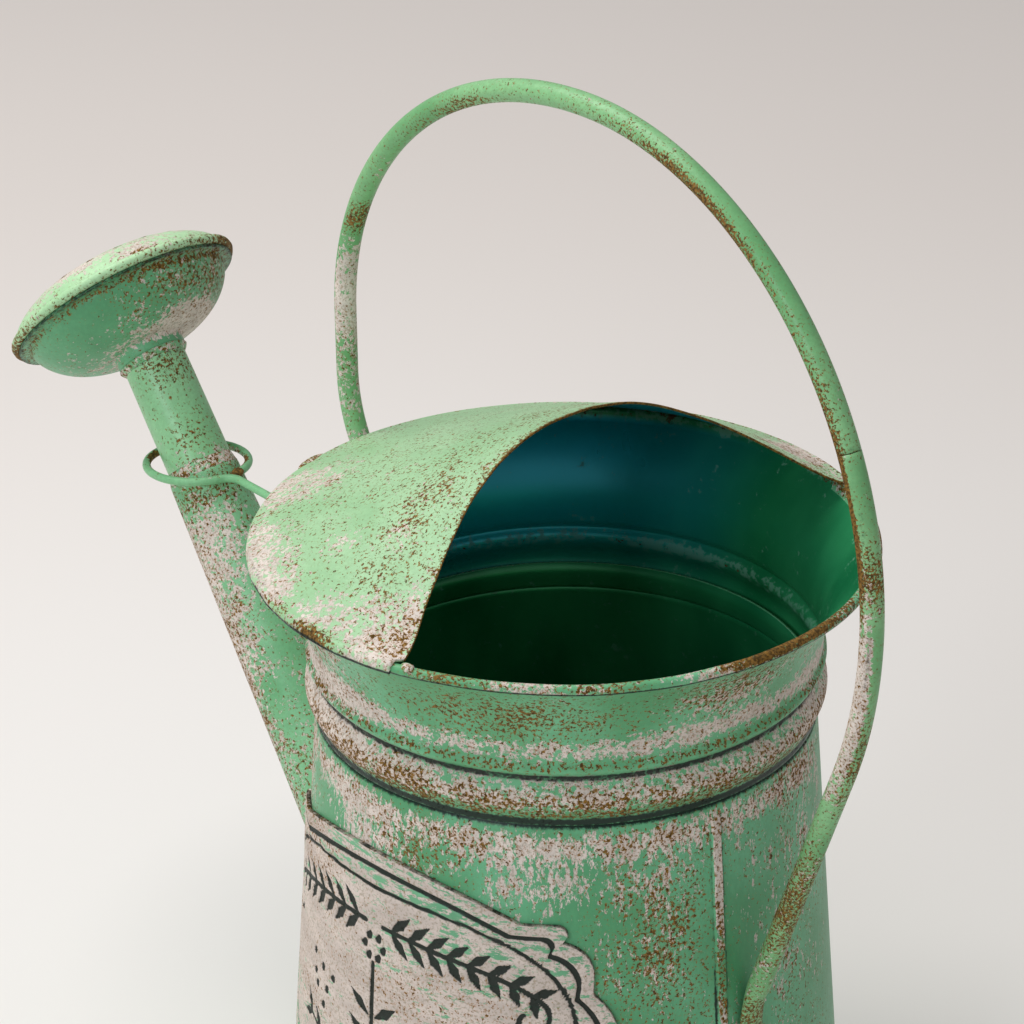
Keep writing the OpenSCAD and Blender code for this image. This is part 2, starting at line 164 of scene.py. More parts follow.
world = bpy.data.worlds.new("room")
bpy.context.scene.world = world
world.use_nodes = True
world.node_tree.nodes["Background"].inputs["Color"].default_value = linear(240, 240, 242)
world.node_tree.nodes["Background"].inputs["Strength"].default_value = 0.47


def lamp(name, place, aim, size, power, colour):
    light = bpy.data.lights.new(name, "AREA")
    light.shape, light.size, light.energy, light.color = "DISK", size, power, colour
    made = bpy.data.objects.new(name, light)
    bpy.context.collection.objects.link(made)
    made.location = place
    made.rotation_euler = (Vector(aim) - Vector(place)).to_track_quat("-Z", "Y").to_euler()


lamp("overhead_lamp", (-0.75, -0.35, 1.6), (0, 0, 0.15), 1.3, 21, (1.0, 0.98, 0.95))
lamp("window_lamp", (0.35, -1.5, 0.95), (0, 0, 0.17), 0.7, 9, (0.86, 0.94, 1.0))


# ---- the body ----
# A tapered drum of thin steel sheet, its two edges lapped and soldered in one upright seam, with a
# rolled bead at the foot and a neck at the top that the collar is pushed over. Mint-green paint
# over a pale undercoat, sanded through and stained with rust.
FIT, SHEET = 0.1, 0.8
CAN_H, FOOT_R, SHOULDER_R, COLLAR_Z = 215.0, 83.0, 71.0, 165.5
GROOVE, NECK_H = 1.2, 7.0
FOOT_BEAD_Z, FOOT_BEAD_TOP, FOOT_BEAD_OUT, SWELL_POWER = 1.0, 6.0, 1.4, 1.3
SLOPE = (FOOT_R - SHOULDER_R) / (COLLAR_Z - GROOVE)
SEAM_AT, SEAM_W, SEAM_OUT = -6.5, 3.2, 0.7


def wall_r(z):
    return FOOT_R - SLOPE * z


def ripple(x, seed, spread=0.5):
    """A smooth line that wanders between about -1 and 1, the same each time for a seed."""
    dice = np.random.RandomState(seed)
    total = np.zeros_like(x, float)
    for _ in range(5):
        total = total + np.sin(x * (1 + spread * dice.uniform(-1, 1)) + dice.uniform(0, 6.28))
    return total / 3


def ripple_round(bearing, waves, seed):
    """The same for a bearing in degrees, with about so many waves to a radian."""
    return ripple(bearing / 57.3 * waves, seed)


def soft(x, low, high):
    """0 at low and 1 at high, with soft ends, for lists of numbers."""
    t = np.clip((np.asarray(x, float) - low) / (high - low), 0, 1)
    return t * t * (3 - 2 * t)


def near(x, middle, width):
    return soft(np.abs(np.asarray(x, float) - middle), width, 0)


def bands(x, *rows):
    """The sum of worn bands along x, each (strength, middle, reach)."""
    return sum(strength * near(x, middle, reach) for strength, middle, reach in rows)


def patches(bearing, height, *rows):
    """The sum of worn patches, each (strength, bearing, its reach, height, its reach)."""
    return sum(strength * near(bearing, side, wide) * near(height, level, tall)
               for strength, side, wide, level, tall in rows)


def round_spots(points, spots):
    """How much each point lies in one of the spots (x, y, z, radius, strength)."""
    share = np.zeros(points.shape[:-1])
    for x, y, z, radius, strength in spots:
        away = np.linalg.norm(points - (x, y, z), axis=-1)
        share = np.maximum(share, strength * soft(away, radius, radius * 0.25))
    return share


def swell(r0, r1, z0, z1, out, steps):
    """The path of a bead that stands out between two points."""
    t = np.linspace(0, 1, steps)
    return [(r0 + (r1 - r0) * k + out * math.sin(math.pi * k) ** SWELL_POWER, z0 + (z1 - z0) * k)
            for k in t]


def thick(path, sheet=SHEET):
    """The closed section of a sheet whose outer side follows the path of (r, z)."""
    path = np.array(path)
    run = np.gradient(path, axis=0)
    run /= np.linalg.norm(run, axis=1)[:, None]
    inner = path + sheet * np.stack([-run[:, 1], run[:, 0]], 1)
    return path, inner[::-1]


def outward(mesh):
    """Turns the faces of a closed mesh so that they all look out."""
    work = bmesh.new()
    work.from_mesh(mesh)
    bmesh.ops.recalc_face_normals(work, faces=work.faces)
    work.to_mesh(mesh)
    work.free()


def skin(name, grid, rounds=(True, True), inside=None, caps=False):
    """A smooth closed mesh over a grid of points in millimetres that runs round either way. inside
    says, for each row, column cell, whether it takes the second material."""
    rows, cols = grid.shape[:2]
    i, j = np.meshgrid(np.arange(rows - (not rounds[0])), np.arange(cols - (not rounds[1])),
                       indexing="ij")
    down, over = (i + 1) % rows, (j + 1) % cols
    faces = np.stack([i * cols + j, down * cols + j, down * cols + over, i * cols + over], -1)
    faces = [tuple(f) for f in faces.reshape(-1, 4).tolist()]
    if caps:
        faces += [tuple(range(cols)), tuple((rows - 1) * cols + k for k in range(cols))]
    mesh = bpy.data.meshes.new(name)
    mesh.from_pydata((grid.reshape(-1, 3) * MM).tolist(), [], faces)
    if inside is not None:
        which = np.zeros(len(faces), np.int32)
        which[:i.size] = inside[:i.shape[0], :i.shape[1]].reshape(-1)
        mesh.polygons.foreach_set("material_index", which)
    mesh.polygons.foreach_set("use_smooth", np.ones(len(faces), bool))
    outward(mesh)
    made = bpy.data.objects.new(name, mesh)
    bpy.context.collection.objects.link(made)
    return made


def wear(made, grid, **marks):
    """Stores each point's marks, 0 to 1: pale, rust, and a third, painted shade and dirt on paint,
    painted blue reflection on the lacquer inside.
    """
    for name, share in marks.items():
        share = np.broadcast_to(share, grid.shape[:-1]).reshape(-1)
        mark = made.data.attributes.new(name, "FLOAT", "POINT")
        mark.data.foreach_set("value", share.astype(np.float32))


def fasten(made, node, slot, *materials):
    """A piece that is part of the can and stands for its plain solid."""
    for material in materials:
        made.data.materials.append(material)
    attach(made, "root")
    if node:
        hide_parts(node)


def spin(angles, path, push=None):
    """The points of a closed section turned round the can's axis; push moves them outwards."""
    radius = np.broadcast_to(path[:, 0], (len(angles), len(path))) + (0 if push is None else push)
    turned = np.radians(angles)[:, None]
    return np.stack([radius * np.cos(turned), radius * np.sin(turned),
                     np.broadcast_to(path[:, 1], radius.shape)], -1)


def marks_of(start):
    """The three stored marks, as fields."""
    return [start.node("ShaderNodeAttribute", {"attribute_name": key}, out="Fac")
            for key in ("pale", "rust", "wash")]


def paint(name, light, deep, gloss=0.42, pale_colour=(224, 212, 202), seed=0.0, speck=1.0,
          lie=(1.0, 1.0, 1.0)):
    """Mint paint over a pale undercoat over rusty steel. The stored marks say how much undercoat, rust
    and near-black green show at a place, and fine noise breaks it up into chips and specks. The
    near-black green is painted shade in creases and under parts, with some real dirt."""
    made, start, place = new_material(name)
    pale, rust, wash = marks_of(start)
    drawn = place.stretch(*lie)
    broad = place.grain(34, 2, 0.5, seed + 3)
    patch = drawn.grain(6.5, 3, 0.62, seed + 11)
    crumb = drawn.grain(1.7, 4, 0.76, seed + 17)
    chip = place.grain(1.05 * speck, 3, 0.72, seed + 23)
    fleck = place.grain(0.8, 2, 0.6, seed + 29)
    # the undercoat: ragged clusters of crumbs
    bare = patch * 0.7 + crumb * 2.1 - 0.95 + (broad - 0.5) * 0.5 + (pale - 0.5) * 1.1
    frayed = bare.ramp(0.36, 0.56)
    bare = bare.ramp(0.475, 0.55)
    # rust: crisp specks that gather in the same places
    pit = patch * 0.4 + chip * 2.2 - 0.86 + (broad - 0.5) * 0.3 + frayed * 0.05 + (rust - 0.5) * 1.0
    halo = pit.ramp(0.30, 0.58)
    pit = pit.ramp(0.485, 0.545)
    # painted shade in creases and under parts, with some dirt, broken up by noise
    dirt_and_shade = ((crumb - 0.5) * 1.7 + wash).ramp(0.24, 0.86)
    colour = broad.ramp(0.35, 0.65).mix(deep, light)
    colour = (crumb.ramp(0.36, 0.60) * 0.26).mix(colour, [c * 0.84 for c in deep])
    colour = (frayed * 0.35).mix(colour, [0.5 * (a + b) for a, b in zip(light, pale_colour)])
    colour = (halo * 0.40).mix(colour, (140, 142, 84))
    under = patch.ramp(0.35, 0.65).mix(pale_colour, [c * 0.91 for c in pale_colour])
    under = (fleck.ramp(0.48, 0.66) * 0.55).mix(under, (136, 124, 96))
    under = (halo * 0.55).mix(under, (196, 140, 96))
    under = (chip.ramp(0.60, 0.74) * 0.5).mix(under, deep)
    colour = bare.mix(colour, under)
    brown = fleck.ramp(0.36, 0.66).mix((74, 53, 14), (140, 103, 44))
    colour = pit.mix(colour, brown)
    # near-black green: painted shade, with some dirt
    colour = (dirt_and_shade * 0.97).mix(colour, (3, 26, 18))
    height = bare * -0.5 - pit * 0.35 + fleck * 0.16 + crumb * 0.25 - dirt_and_shade * 0.2
    finish_material(start, Base_Color=colour, Normal=height.bump(0.5), Specular_IOR_Level=0.32,
                    Roughness=bare * 0.22 + pit * 0.35 + (crumb - 0.5) * 0.2 + gloss)
    return made


def lacquer(name, light, deep, seed=0.0):
    """The dark glossy coat inside, with pale scuffs and a pale painted highlight on the collar's inner
    bead. Where the third mark says, it turns bright blue: a painted reflection.
    """
    made, start, place = new_material(name)
    pale, rust, wash = marks_of(start)
    cloud = place.stretch(1, 1, 0.5).grain(30, 3, 0.5, seed)
    crumb = place.grain(2.2, 4, 0.7, seed + 5)
    scuff = (crumb * 1.5 - 0.75 + place.grain(12, 3, 0.6, seed + 7) * 0.8 - 0.4
             + (pale - 0.5) * 0.95 + 0.5).ramp(0.46, 0.6)
    pit = (crumb * -1.6 + 0.8 + (rust - 0.5) * 0.95 + 0.5).ramp(0.46, 0.56)
    colour = cloud.ramp(0.3, 0.7).mix(deep, light)
    # painted reflection: bright blue where the third mark says
    colour = wash.mix(colour, (10, 172, 196))
    colour = (scuff * 0.40).mix(colour, (120, 146, 138))
    colour = pit.mix(colour, (84, 50, 20))
    finish_material(start, Base_Color=colour, Normal=(cloud * 0.6 + crumb * 0.3 - pit).bump(0.25),
                    Metallic=0.35 - scuff * 0.3 - pit * 0.3,
                    Roughness=scuff * 0.3 + pit * 0.5 + (cloud - 0.5) * 0.12 + 0.30)
    return made


can_paint = paint("can_paint", (106, 180, 136), (84, 156, 108), seed=1.0, lie=(1.1, 1.1, 0.5))
inside_coat = lacquer("inside_coat", (52, 154, 98), (24, 120, 72))

neck_r = SHOULDER_R - SHEET - FIT
body_path, body_back = thick(
    [(FOOT_R, 0.0)] + swell(wall_r(FOOT_BEAD_Z), wall_r(FOOT_BEAD_TOP), FOOT_BEAD_Z, FOOT_BEAD_TOP,
                            FOOT_BEAD_OUT, 16)
    + [(wall_r(z), z) for z in np.linspace(FOOT_BEAD_TOP + 0.6, COLLAR_Z - GROOVE - 0.4, 96)]
    + [(SHOULDER_R, COLLAR_Z - GROOVE), (SHOULDER_R - 0.5, COLLAR_Z - 0.75)]
    + [(neck_r, z) for z in (COLLAR_Z - FIT, COLLAR_Z + 3, COLLAR_Z + NECK_H)])
section = np.concatenate([body_path, body_back])
angles = np.sort(np.concatenate([np.arange(-180, 180, 1.25),
                                 SEAM_AT + np.linspace(-2.2, 2.2, 45)]))
angles = angles[np.concatenate([[True], np.diff(angles) > 0.02])]
across = (angles[:, None] - SEAM_AT) * math.pi / 180 * SHOULDER_R
height = np.broadcast_to(section[:, 1], (len(angles), len(section)))
on_cone = soft(height, 7, 12) * soft(height, 163, 158)
flat_seam = soft(np.abs(across), SEAM_W / 2, SEAM_W / 2 - 0.5)
outside = np.arange(len(section)) < len(body_path)
dents = ripple_round(angles[:, None], 3, 4) * ripple(height / 26, 5) * 0.16
push = on_cone * dents + outside * on_cone * flat_seam * (SEAM_OUT + 0.12 * ripple(height / 4, 6))
grid = spin(angles, section, push)
can_body = skin("can_body", grid, inside=np.broadcast_to(~outside, grid.shape[:2]))
bearing = np.broadcast_to(angles[:, None], grid.shape[:2])
streak = 0.5 + 0.5 * ripple_round(bearing, 9, 8)
behind = soft(np.abs(bearing), 95, 130)
pale = 0.22 + 0.40 * near(height, 159, 8) * soft(bearing, 40, 20) \
    + 0.30 * near(height, 148, 18) * soft(bearing, -8, -22) * (0.35 + 0.9 * streak) \
    + 0.16 * near(height, 4, 12) \
    + patches(bearing, height, (0.15, -85, 34, 150, 22), (0.26, -24, 18, 128, 40),
              (0.30, 34, 17, 146, 26), (0.22, 27, 12, 100, 24)) \
    + streak * patches(bearing, height, (0.34, 20, 12, 138, 32), (0.42, 9, 18, 112, 60),
                       (0.20, 75, 50, 90, 80)) \
    + streak * behind * (0.12 + 0.26 * near(height, 140, 50))
rust = 0.25 + 0.1 * near(bearing, 20, 20) + bands(height, (0.34, 3.5, 6), (0.12, 160, 8)) \
    + patches(bearing, height, (0.28, -22, 22, 126, 44), (0.24, -76, 22, 150, 16),
              (0.18, 80, 30, 110, 50)) \
    + behind * (0.06 + 0.16 * near(height, 60, 60) + 0.2 * streak * near(height, 140, 36))
pale = np.maximum(pale, flat_seam * on_cone * (0.66 + 0.2 * ripple(height / 7, 9)))
rust = np.maximum(rust, flat_seam * on_cone * (0.42 + 0.22 * ripple(height / 9, 10)))
# painted shade darkens the drum under the collar, over the foot's bead and beside the seam
# the seam's left edge darkens low down: the painted shadow of the handle's foot
wash = bands(height, (0.9, COLLAR_Z, 1.6), (0.45, COLLAR_Z, 4), (0.6, 6.6, 1.2), (0.4, 0.3, 1.0)) \
    + 0.9 * near(across, -SEAM_W / 2 - 0.3, 0.9) * (0.45 + 0.55 * soft(height, 128, 96)) * on_cone \
    + 0.55 * near(across, SEAM_W / 2 + 0.2, 0.7) * on_cone
wear(can_body, grid, pale=np.where(outside, pale, 0.24), rust=np.where(outside, rust, 0.1),
     wash=np.where(outside, wash, 0.0))
fasten(can_body, "body_wall", "can_paint", can_paint, inside_coat)


# ---- the base ----
# A dished disc crimped inside the foot, in the can's own green. Water standing in the can, and wet
# shelves below it, have scuffed and rusted both of its sides.
base_paint, start, place = new_material("base_paint")
stain = place.grain(22, 4, 0.6, 2.0)
scuff = place.grain(6, 4, 0.7, 4.0)
worn = (stain * 0.6 + scuff * 0.8 - 0.2).ramp(0.50, 0.58)
rusty = (stain + (place.grain(2.5, 3, 0.7, 6.0) - 0.5) * 0.7).ramp(0.50, 0.60)
painted = worn.mix(stain.ramp(0.35, 0.65).mix((78, 148, 104), (104, 172, 128)), (196, 186, 170))
brown = scuff.ramp(0.4, 0.7).mix((78, 56, 18), (136, 98, 44))
finish_material(start, Base_Color=rusty.mix(painted, brown),
                Roughness=worn * 0.15 + rusty * 0.25 + 0.45)
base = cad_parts["base_plate"]
base.data.materials.clear()
base.data.materials.append(base_paint)


# ---- the collar ----
# One spun steel sheet with a round bead and a smaller ridge, flared out like a trumpet and rolled
# over a wire at the mouth. Rust has eaten the paint off the roll on the handle's side.
RIM_R, ROLL_R, UNDER_HOOD_FROM = 86.1, 1.5, 73
BEAD_Z, BEAD_H, RIDGE_H = COLLAR_Z + 1.6, 12.5, 4.5
RIDGE_Z = BEAD_Z + BEAD_H + 1.2
FLARE_Z = RIDGE_Z + RIDGE_H
BEAD_OUT, BEAD_STEP, RIDGE_OUT, RIDGE_STEP = 2.4, 0.4, 1.3, 1.2
BEAD_TOP, flare_root = BEAD_Z + BEAD_H, SHOULDER_R + RIDGE_STEP
flare_out, flare_up = RIM_R - flare_root, CAN_H - 0.6 * ROLL_R - FLARE_Z
flare_r = (flare_out ** 2 + flare_up ** 2) / (2 * flare_out)
flare_mid = (flare_root + flare_r, FLARE_Z)
flare_end = math.atan2(flare_up, RIM_R - flare_mid[0])


def bow(middle, radius, start, end, steps):
    """Points along an arc."""
    return [(middle[0] + radius * math.cos(a), middle[1] + radius * math.sin(a))
            for a in np.linspace(start, end, steps)]


outer, inner = thick(
    [(SHOULDER_R, COLLAR_Z), (SHOULDER_R, COLLAR_Z + 0.8)]
    + swell(SHOULDER_R, SHOULDER_R + BEAD_STEP, BEAD_Z, BEAD_TOP, BEAD_OUT, 30)
    + swell(SHOULDER_R + RIDGE_STEP / 2, flare_root, RIDGE_Z, FLARE_Z, RIDGE_OUT, 16)
    + bow(flare_mid, flare_r, math.pi - 0.02, flare_end, 44))
# the roll goes round from the sheet's outer side, over the top and back to its inner side; part
# is 0 on the outer side, 1 on the roll and 2 on the inner side
rolled = np.array(bow((RIM_R, CAN_H), ROLL_R, -0.55 * math.pi, 1.02 * math.pi, 22))
section = np.concatenate([outer[:-3], rolled, inner[3:]])
part = np.concatenate([np.zeros(len(outer) - 3), np.ones(len(rolled)), np.full(len(inner) - 3, 2)])
angles = np.arange(-180, 180, 1.0)
bearing = np.broadcast_to(angles[:, None], (len(angles), len(section)))
height = np.broadcast_to(section[:, 1], bearing.shape)
uneven = 0.10 * ripple_round(bearing, 7, 21) + 0.06 * ripple_round(bearing, 31, 22)
push = uneven * (0.4 + soft(height, 205, 214)) * soft(height, 168, 174)
grid = spin(angles, section, push)
grid[..., 2] += soft(height, 206, 214) * 0.22 * ripple_round(bearing, 5, 23)
on_roll, within = part == 1, part == 2
# under the hood the inside's coat also covers the inner half of the roll
under_hood = (np.abs(angles) > UNDER_HOOD_FROM)[:, None]
coated = within | (on_roll & (section[:, 0] < RIM_R) & under_hood)
can_collar = skin("can_collar", grid, inside=coated)
bearing = np.where(bearing > 120, bearing - 360, bearing)
left = soft(bearing, -78, -100) * soft(bearing, -232, -196)
pale = 0.20 + bands(height, (0.44, 189, 6.5), (0.36, 180.2, 2.4), (0.50, 174.5, 8.5)) \
    + 0.32 * left * soft(height, 212, 204) + 0.36 * near(bearing, -4, 34) * near(height, 200, 14) \
    + 0.16 * near(bearing, 30, 20)
rust = 0.27 + bands(height, (0.24, 173, 7), (0.24, 168.8, 3.2), (0.24, 184.2, 2.2)) \
    + patches(bearing, height, (0.31, -55, 40, 200, 15), (0.24, -4, 34, 204, 13)) \
    + 0.12 * left * near(height, 196, 14)
roll_pale = 0.46 + 0.22 * ripple_round(bearing, 14, 24)
roll_rust = 0.40 + 0.56 * near(bearing, 4, 26) * soft(height, 214.4, 215.4) \
    + bands(bearing, (0.2, -62, 8), (0.3, 60, 30)) + 0.1 * ripple_round(bearing, 11, 25)
# painted shade darkens the grooves by the bead and ridge, the flare's root and the sheet under the
# roll
wash = bands(height, (0.75, BEAD_TOP + 0.7, 1.5), (0.8, 166.4, 1.5), (0.4, BEAD_TOP + 0.4, 3.6),
             (0.5, 167, 4)) \
    + 0.30 * near(height, FLARE_Z + 0.5, 1.2) * (0.7 + 0.4 * ripple_round(bearing, 9, 26)) \
    + 1.2 * near(height, 213.2, 2.2) * ~on_roll
# inside, the pale band on the bead is a painted highlight over the scuffs
inner_scuff_and_highlight = 0.24 + (0.34 + 0.16 * ripple_round(bearing, 9, 27)) * near(height, BEAD_TOP + 0.6, 4) \
    + 0.16 * near(height, 170, 4)
inner_rust = 0.05 + 0.5 * near(height, BEAD_TOP + 0.6, 1.2) + 0.1 * soft(height, 209, 214)
# high on the far inner wall the coat turns blue: a painted reflection
inner_blue_reflection = soft(height, 160, 192) * soft(np.cos(np.radians(bearing - 176)), 0.0, 0.9)
# the roll's underside takes painted shade outside, and painted blue reflection where coated
wear(can_collar, grid, pale=np.where(within, inner_scuff_and_highlight, np.where(on_roll, roll_pale, pale)),
     rust=np.where(within, inner_rust, np.where(on_roll, roll_rust, rust)),
     wash=np.where(within, inner_blue_reflection, np.where(on_roll, soft(height, 214.9, 214.1), wash)))
fasten(can_collar, "neck_collar", "collar_paint",
       paint("collar_paint", (114, 186, 140), (92, 164, 114), seed=41.0), inside_coat)


# ---- the hood ----
# A sheet bent over the front half of the mouth. Its lower edge is crimped over the rolled rim, and
# its free edge is left raw, so the thin line of the edge has gone brown.
HOOD_ANGLE, HOOD_H, HOOD_LEAN, HOOD_EASE = 70.6, 37.5, 0.85, 0.0044
HOOD_SHOULDER, HOOD_RUNOUT, HOOD_CORNER = 2.16, 1.35, 0.985
LIP_IN = ROLL_R + FIT
LIP_OUT = LIP_IN + SHEET
LIP_STEPS, RISE_STEPS, CREST_STEPS = 9, 56, 240
# strips are closer together at the two corners, where the sheet runs out
w = np.sin(np.linspace(-1, 1, CREST_STEPS + 1) * math.pi / 2) * 0.4 \
    + np.linspace(-1, 1, CREST_STEPS + 1) * 0.6
w = (w * HOOD_CORNER)[:, None]
crest = HOOD_H * (1 - np.abs(w) ** HOOD_SHOULDER) ** HOOD_RUNOUT
seat = np.where(w == 0, 180.0, (HOOD_ANGLE + (180 - HOOD_ANGLE) * (1 - np.abs(w))) * np.sign(w))
seat_rad = np.radians(seat)
corner = math.radians(HOOD_ANGLE)


def hood_side(thick_by):
    """One side of the hood: strips from the crimped lip over the rim and up to the free edge."""
    crimp = 1 + 0.05 * ripple(seat_rad * 26, 31) + 0.04 * ripple(seat_rad * 9, 32)
    b = np.radians(-25 + 115 * np.arange(LIP_STEPS) / LIP_STEPS)[None, :]
    r = RIM_R + thick_by * np.cos(b) * crimp
    lip = np.stack(np.broadcast_arrays(r * np.cos(seat_rad), r * np.sin(seat_rad),
                                       CAN_H + thick_by * np.sin(b)), -1)
    v = (np.linspace(0, 1, RISE_STEPS + 1) ** 0.9)[None, :, None]
    low = np.stack([RIM_R * np.cos(seat_rad), RIM_R * np.sin(seat_rad),
                    np.full_like(seat_rad, CAN_H + thick_by)], -1)
    high = np.stack([RIM_R * math.cos(corner) - HOOD_LEAN * crest + HOOD_EASE * crest ** 2
                     + 0.18 * ripple(w * 30, 33),
                     RIM_R * math.sin(corner) * w,
                     CAN_H + thick_by + crest + 0.12 * ripple(w * 24, 34)], -1)
    rise = low * (1 - v) + high * v
    share = np.sin(math.pi * np.clip(v[..., 0], 0, 1))
    rise[..., 2] += share * 0.35 * ripple(w * 9, 35) * soft(crest, 2, 14) \
        * ripple(v[..., 0] * 5, 36)
    return np.concatenate([lip, rise], 1)


outer, inner = hood_side(LIP_OUT), hood_side(LIP_IN)
middle = (outer[:, -1:] + inner[:, -1:]) / 2
out_of = outer[:, -1:] - outer[:, -2:-1]
out_of /= np.linalg.norm(out_of, axis=-1)[..., None]
edge = np.concatenate([outer[:, -1:] * 0.9 + inner[:, -1:] * 0.1 + out_of * 0.14,
                       middle + out_of * 0.24,
                       outer[:, -1:] * 0.1 + inner[:, -1:] * 0.9 + out_of * 0.14], 1)
grid = np.concatenate([outer, edge, inner[:, ::-1]], 1)
strip = outer.shape[1]
column = np.arange(grid.shape[1])
underneath = (column >= strip + 3) & (column < len(column) - LIP_STEPS)
can_hood = skin("can_hood", grid, rounds=(False, True), caps=True,
                inside=np.broadcast_to(underneath, grid.shape[:2]))
bearing = seat
from_edge = np.linalg.norm(grid - grid[:, strip + 1:strip + 2], axis=-1)
from_lip = np.linalg.norm(grid - grid[:, 3:4], axis=-1)
on_lip = soft(grid[..., 2], CAN_H + LIP_OUT + 0.4, CAN_H + LIP_OUT - 0.3)
pale = 0.25 + round_spots(grid, [(-41, -74, 218, 17, 0.36), (-52, -67, 217, 14, 0.34),
                                 (-27, -81, 218, 13, 0.32), (-6, -82, 219, 12, 0.34),
                                 (18, -80, 219, 15, 0.38), (17, -71, 225, 12, 0.26),
                                 (6, -78, 221, 14, 0.34), (-48, 70, 219, 16, 0.5),
                                 (8, 80, 220, 15, 0.5), (-20, -62, 228, 10, 0.24),
                                 (-3, -57, 233, 9, 0.22), (-66, -40, 222, 22, 0.3)]) \
    + 0.2 * near(from_edge, 3, 5) * soft(grid[..., 2], 240, 222) + 0.12 * near(from_lip, 4, 7)
rust = 0.33 + round_spots(grid, [(21, -78, 220, 10, 0.16), (18, -68, 227, 5, 0.05),
                                 (22, -84, 217, 4, 0.08)]) \
    - 0.10 * soft(pale, 0.35, 0.6) \
    + 0.85 * soft(from_edge, 0.5, 0.2) + 0.10 * soft(from_edge, 6, 1) \
    + 0.1 * near(from_edge, 18, 16) \
    + on_lip * (bands(bearing, (0.42, -91, 10), (0.2, -104, 10), (0.3, 110, 40))
                + 0.1 * ripple(seat_rad * 12, 37))
# the lip's lower edge is darker: painted shade under the crimp
wash = on_lip * (soft(grid[..., 2], CAN_H + 0.3, CAN_H - 0.6)
                 + bands(bearing, (0.34, -116, 22), (0.3, -92, 12)))
wear(can_hood, grid, pale=np.where(underneath, 0.16 + 0.3 * near(from_lip, 6, 6), pale),
     rust=np.where(underneath, 0.02 + 0.6 * soft(from_edge, 1.8, 0.4), rust),
     wash=np.where(underneath, 0, wash))
fasten(can_hood, "hood", "hood_paint",
       # a lighter green than the can's: pale dry-brush, and a painted sheen of the overhead light on
       # its top
       paint("hood_paint", (168, 207, 162), (150, 195, 146), gloss=0.44, seed=71.0),
       # the lining's teal blue is a painted reflection
       lacquer("hood_lining", (24, 176, 204), (12, 146, 174), seed=9.0))


# ---- the spout ----
# A rolled and tapered tube, soldered to the drum low down. A narrower neck tube slips into its
# upper end, and the joint is wiped with solder and painted over.
SPOUT_Z, SPOUT_LEAN, TIP_DROP = 53.0, 38.0, 42.2
ROOT_D, TIP_D, NECK_IN, NECK_OUT, NECK_TIP_D = 33.0, 22.8, 10.0, 40.0, 20.2
lean = math.radians(SPOUT_LEAN)
SPOUT_LEN = (CAN_H - TIP_DROP - SPOUT_Z) / math.cos(lean)
spout_foot = np.array([-wall_r(SPOUT_Z), 0, SPOUT_Z])


def along(origin, lean, points):
    """Points of (across, side, along) laid out from the origin on an axis that leans to the front."""
    points = np.asarray(points, float)
    basis = np.array([[math.cos(lean), 0, math.sin(lean)], [0, 1, 0],
                      [-math.sin(lean), 0, math.cos(lean)]])
    return origin + points @ basis


def all_round(steps):
    """The angles of so many equal steps round a circle."""
    return np.arange(steps)[:, None] * 2 * math.pi / steps


def turned(origin, lean, path, steps=96, push=None):
    """A closed section of (r, s) turned round a leaning axis."""
    path = np.asarray(path, float)
    a = all_round(steps)
    r = path[None, :, 0] + (0 if push is None else push)
    return along(origin, lean, np.stack([r * np.cos(a), r * np.sin(a),
                                         path[None, :, 1] + 0 * a], -1)), a


def spout_r(s):
    return (ROOT_D + (TIP_D - ROOT_D) * s / SPOUT_LEN) / 2


def root_line(a, less, gap):
    """How far along its axis the spout's skin leaves the drum, for each direction round it."""
    s = np.tile(np.linspace(-24, 40, 900), (len(a), 1))
    r = spout_r(s) - less
    skin_points = along(spout_foot, lean, np.stack([r * np.cos(a), r * np.sin(a), s], -1))
    clear = np.hypot(skin_points[..., 0], skin_points[..., 1]) - wall_r(skin_points[..., 2]) - gap
    last = s.shape[1] - 1 - np.argmax((clear < 0)[:, ::-1], axis=1)
    return s[0][last][:, None]


ROOT_GAP, LIP_L = 0.15, 0.5
a = all_round(120)
share = np.linspace(0, 1, 110)[None, :]
start_out, start_in = root_line(a, 0, ROOT_GAP), root_line(a, SHEET, ROOT_GAP)
s_out = start_out + (SPOUT_LEN - LIP_L - start_out) * share
s_in = start_in + (SPOUT_LEN - LIP_L - start_in) * share
knocks = 0.14 * ripple(s_out / 22, 51) * ripple(a * 2, 52, 0) * soft(s_out, 0, 14)
seam = 0.3 * near((a - math.pi) * spout_r(s_out), 0, 1.6) * soft(s_out, 8, 14)
r_out = spout_r(s_out) + knocks + seam
lip = [spout_r(SPOUT_LEN), SPOUT_LEN] - np.array([[0.12, 0.1], [0.4, 0], [0.7, 0.1]])
lip_r, lip_s = (np.broadcast_to(lip[:, k], (len(a), 3)) for k in (0, 1))
r_all = np.concatenate([r_out, lip_r, spout_r(s_in)[:, ::-1] - SHEET], 1)
s_all = np.concatenate([s_out, lip_s, s_in[:, ::-1]], 1)
grid = along(spout_foot, lean, np.stack([r_all * np.cos(a), r_all * np.sin(a), s_all], -1))
spout = skin("spout", grid)
# a tan streak runs up the spout's front, and the label's side has big pale patches
label_side = np.cos(a + 1.9)
streak = np.clip(-np.cos(a - 0.72), 0, 1) ** 2 * near(s_all, 84, 76)
# the spout is darker right at its root: painted shade in the corner with the drum
wear(spout, grid,
     pale=0.30 + 0.34 * near(s_all, 128, 30) * soft(label_side, -0.6, 0.5) + 0.46 * streak
     + 0.22 * near(s_all, 95, 26) * soft(label_side, 0, 0.8) + 0.25 * near(s_all, 6, 14),
     rust=0.29 + 0.26 * streak + bands(s_all, (0.2, 146, 10), (0.3, 2, 12)),
     wash=0.55 * soft(s_all - start_out, 3.0, 0.4))
spout_paint = paint("spout_paint", (134, 194, 146), (104, 172, 120), seed=101.0)
fasten(spout, "spout_tube", "spout_paint", spout_paint)

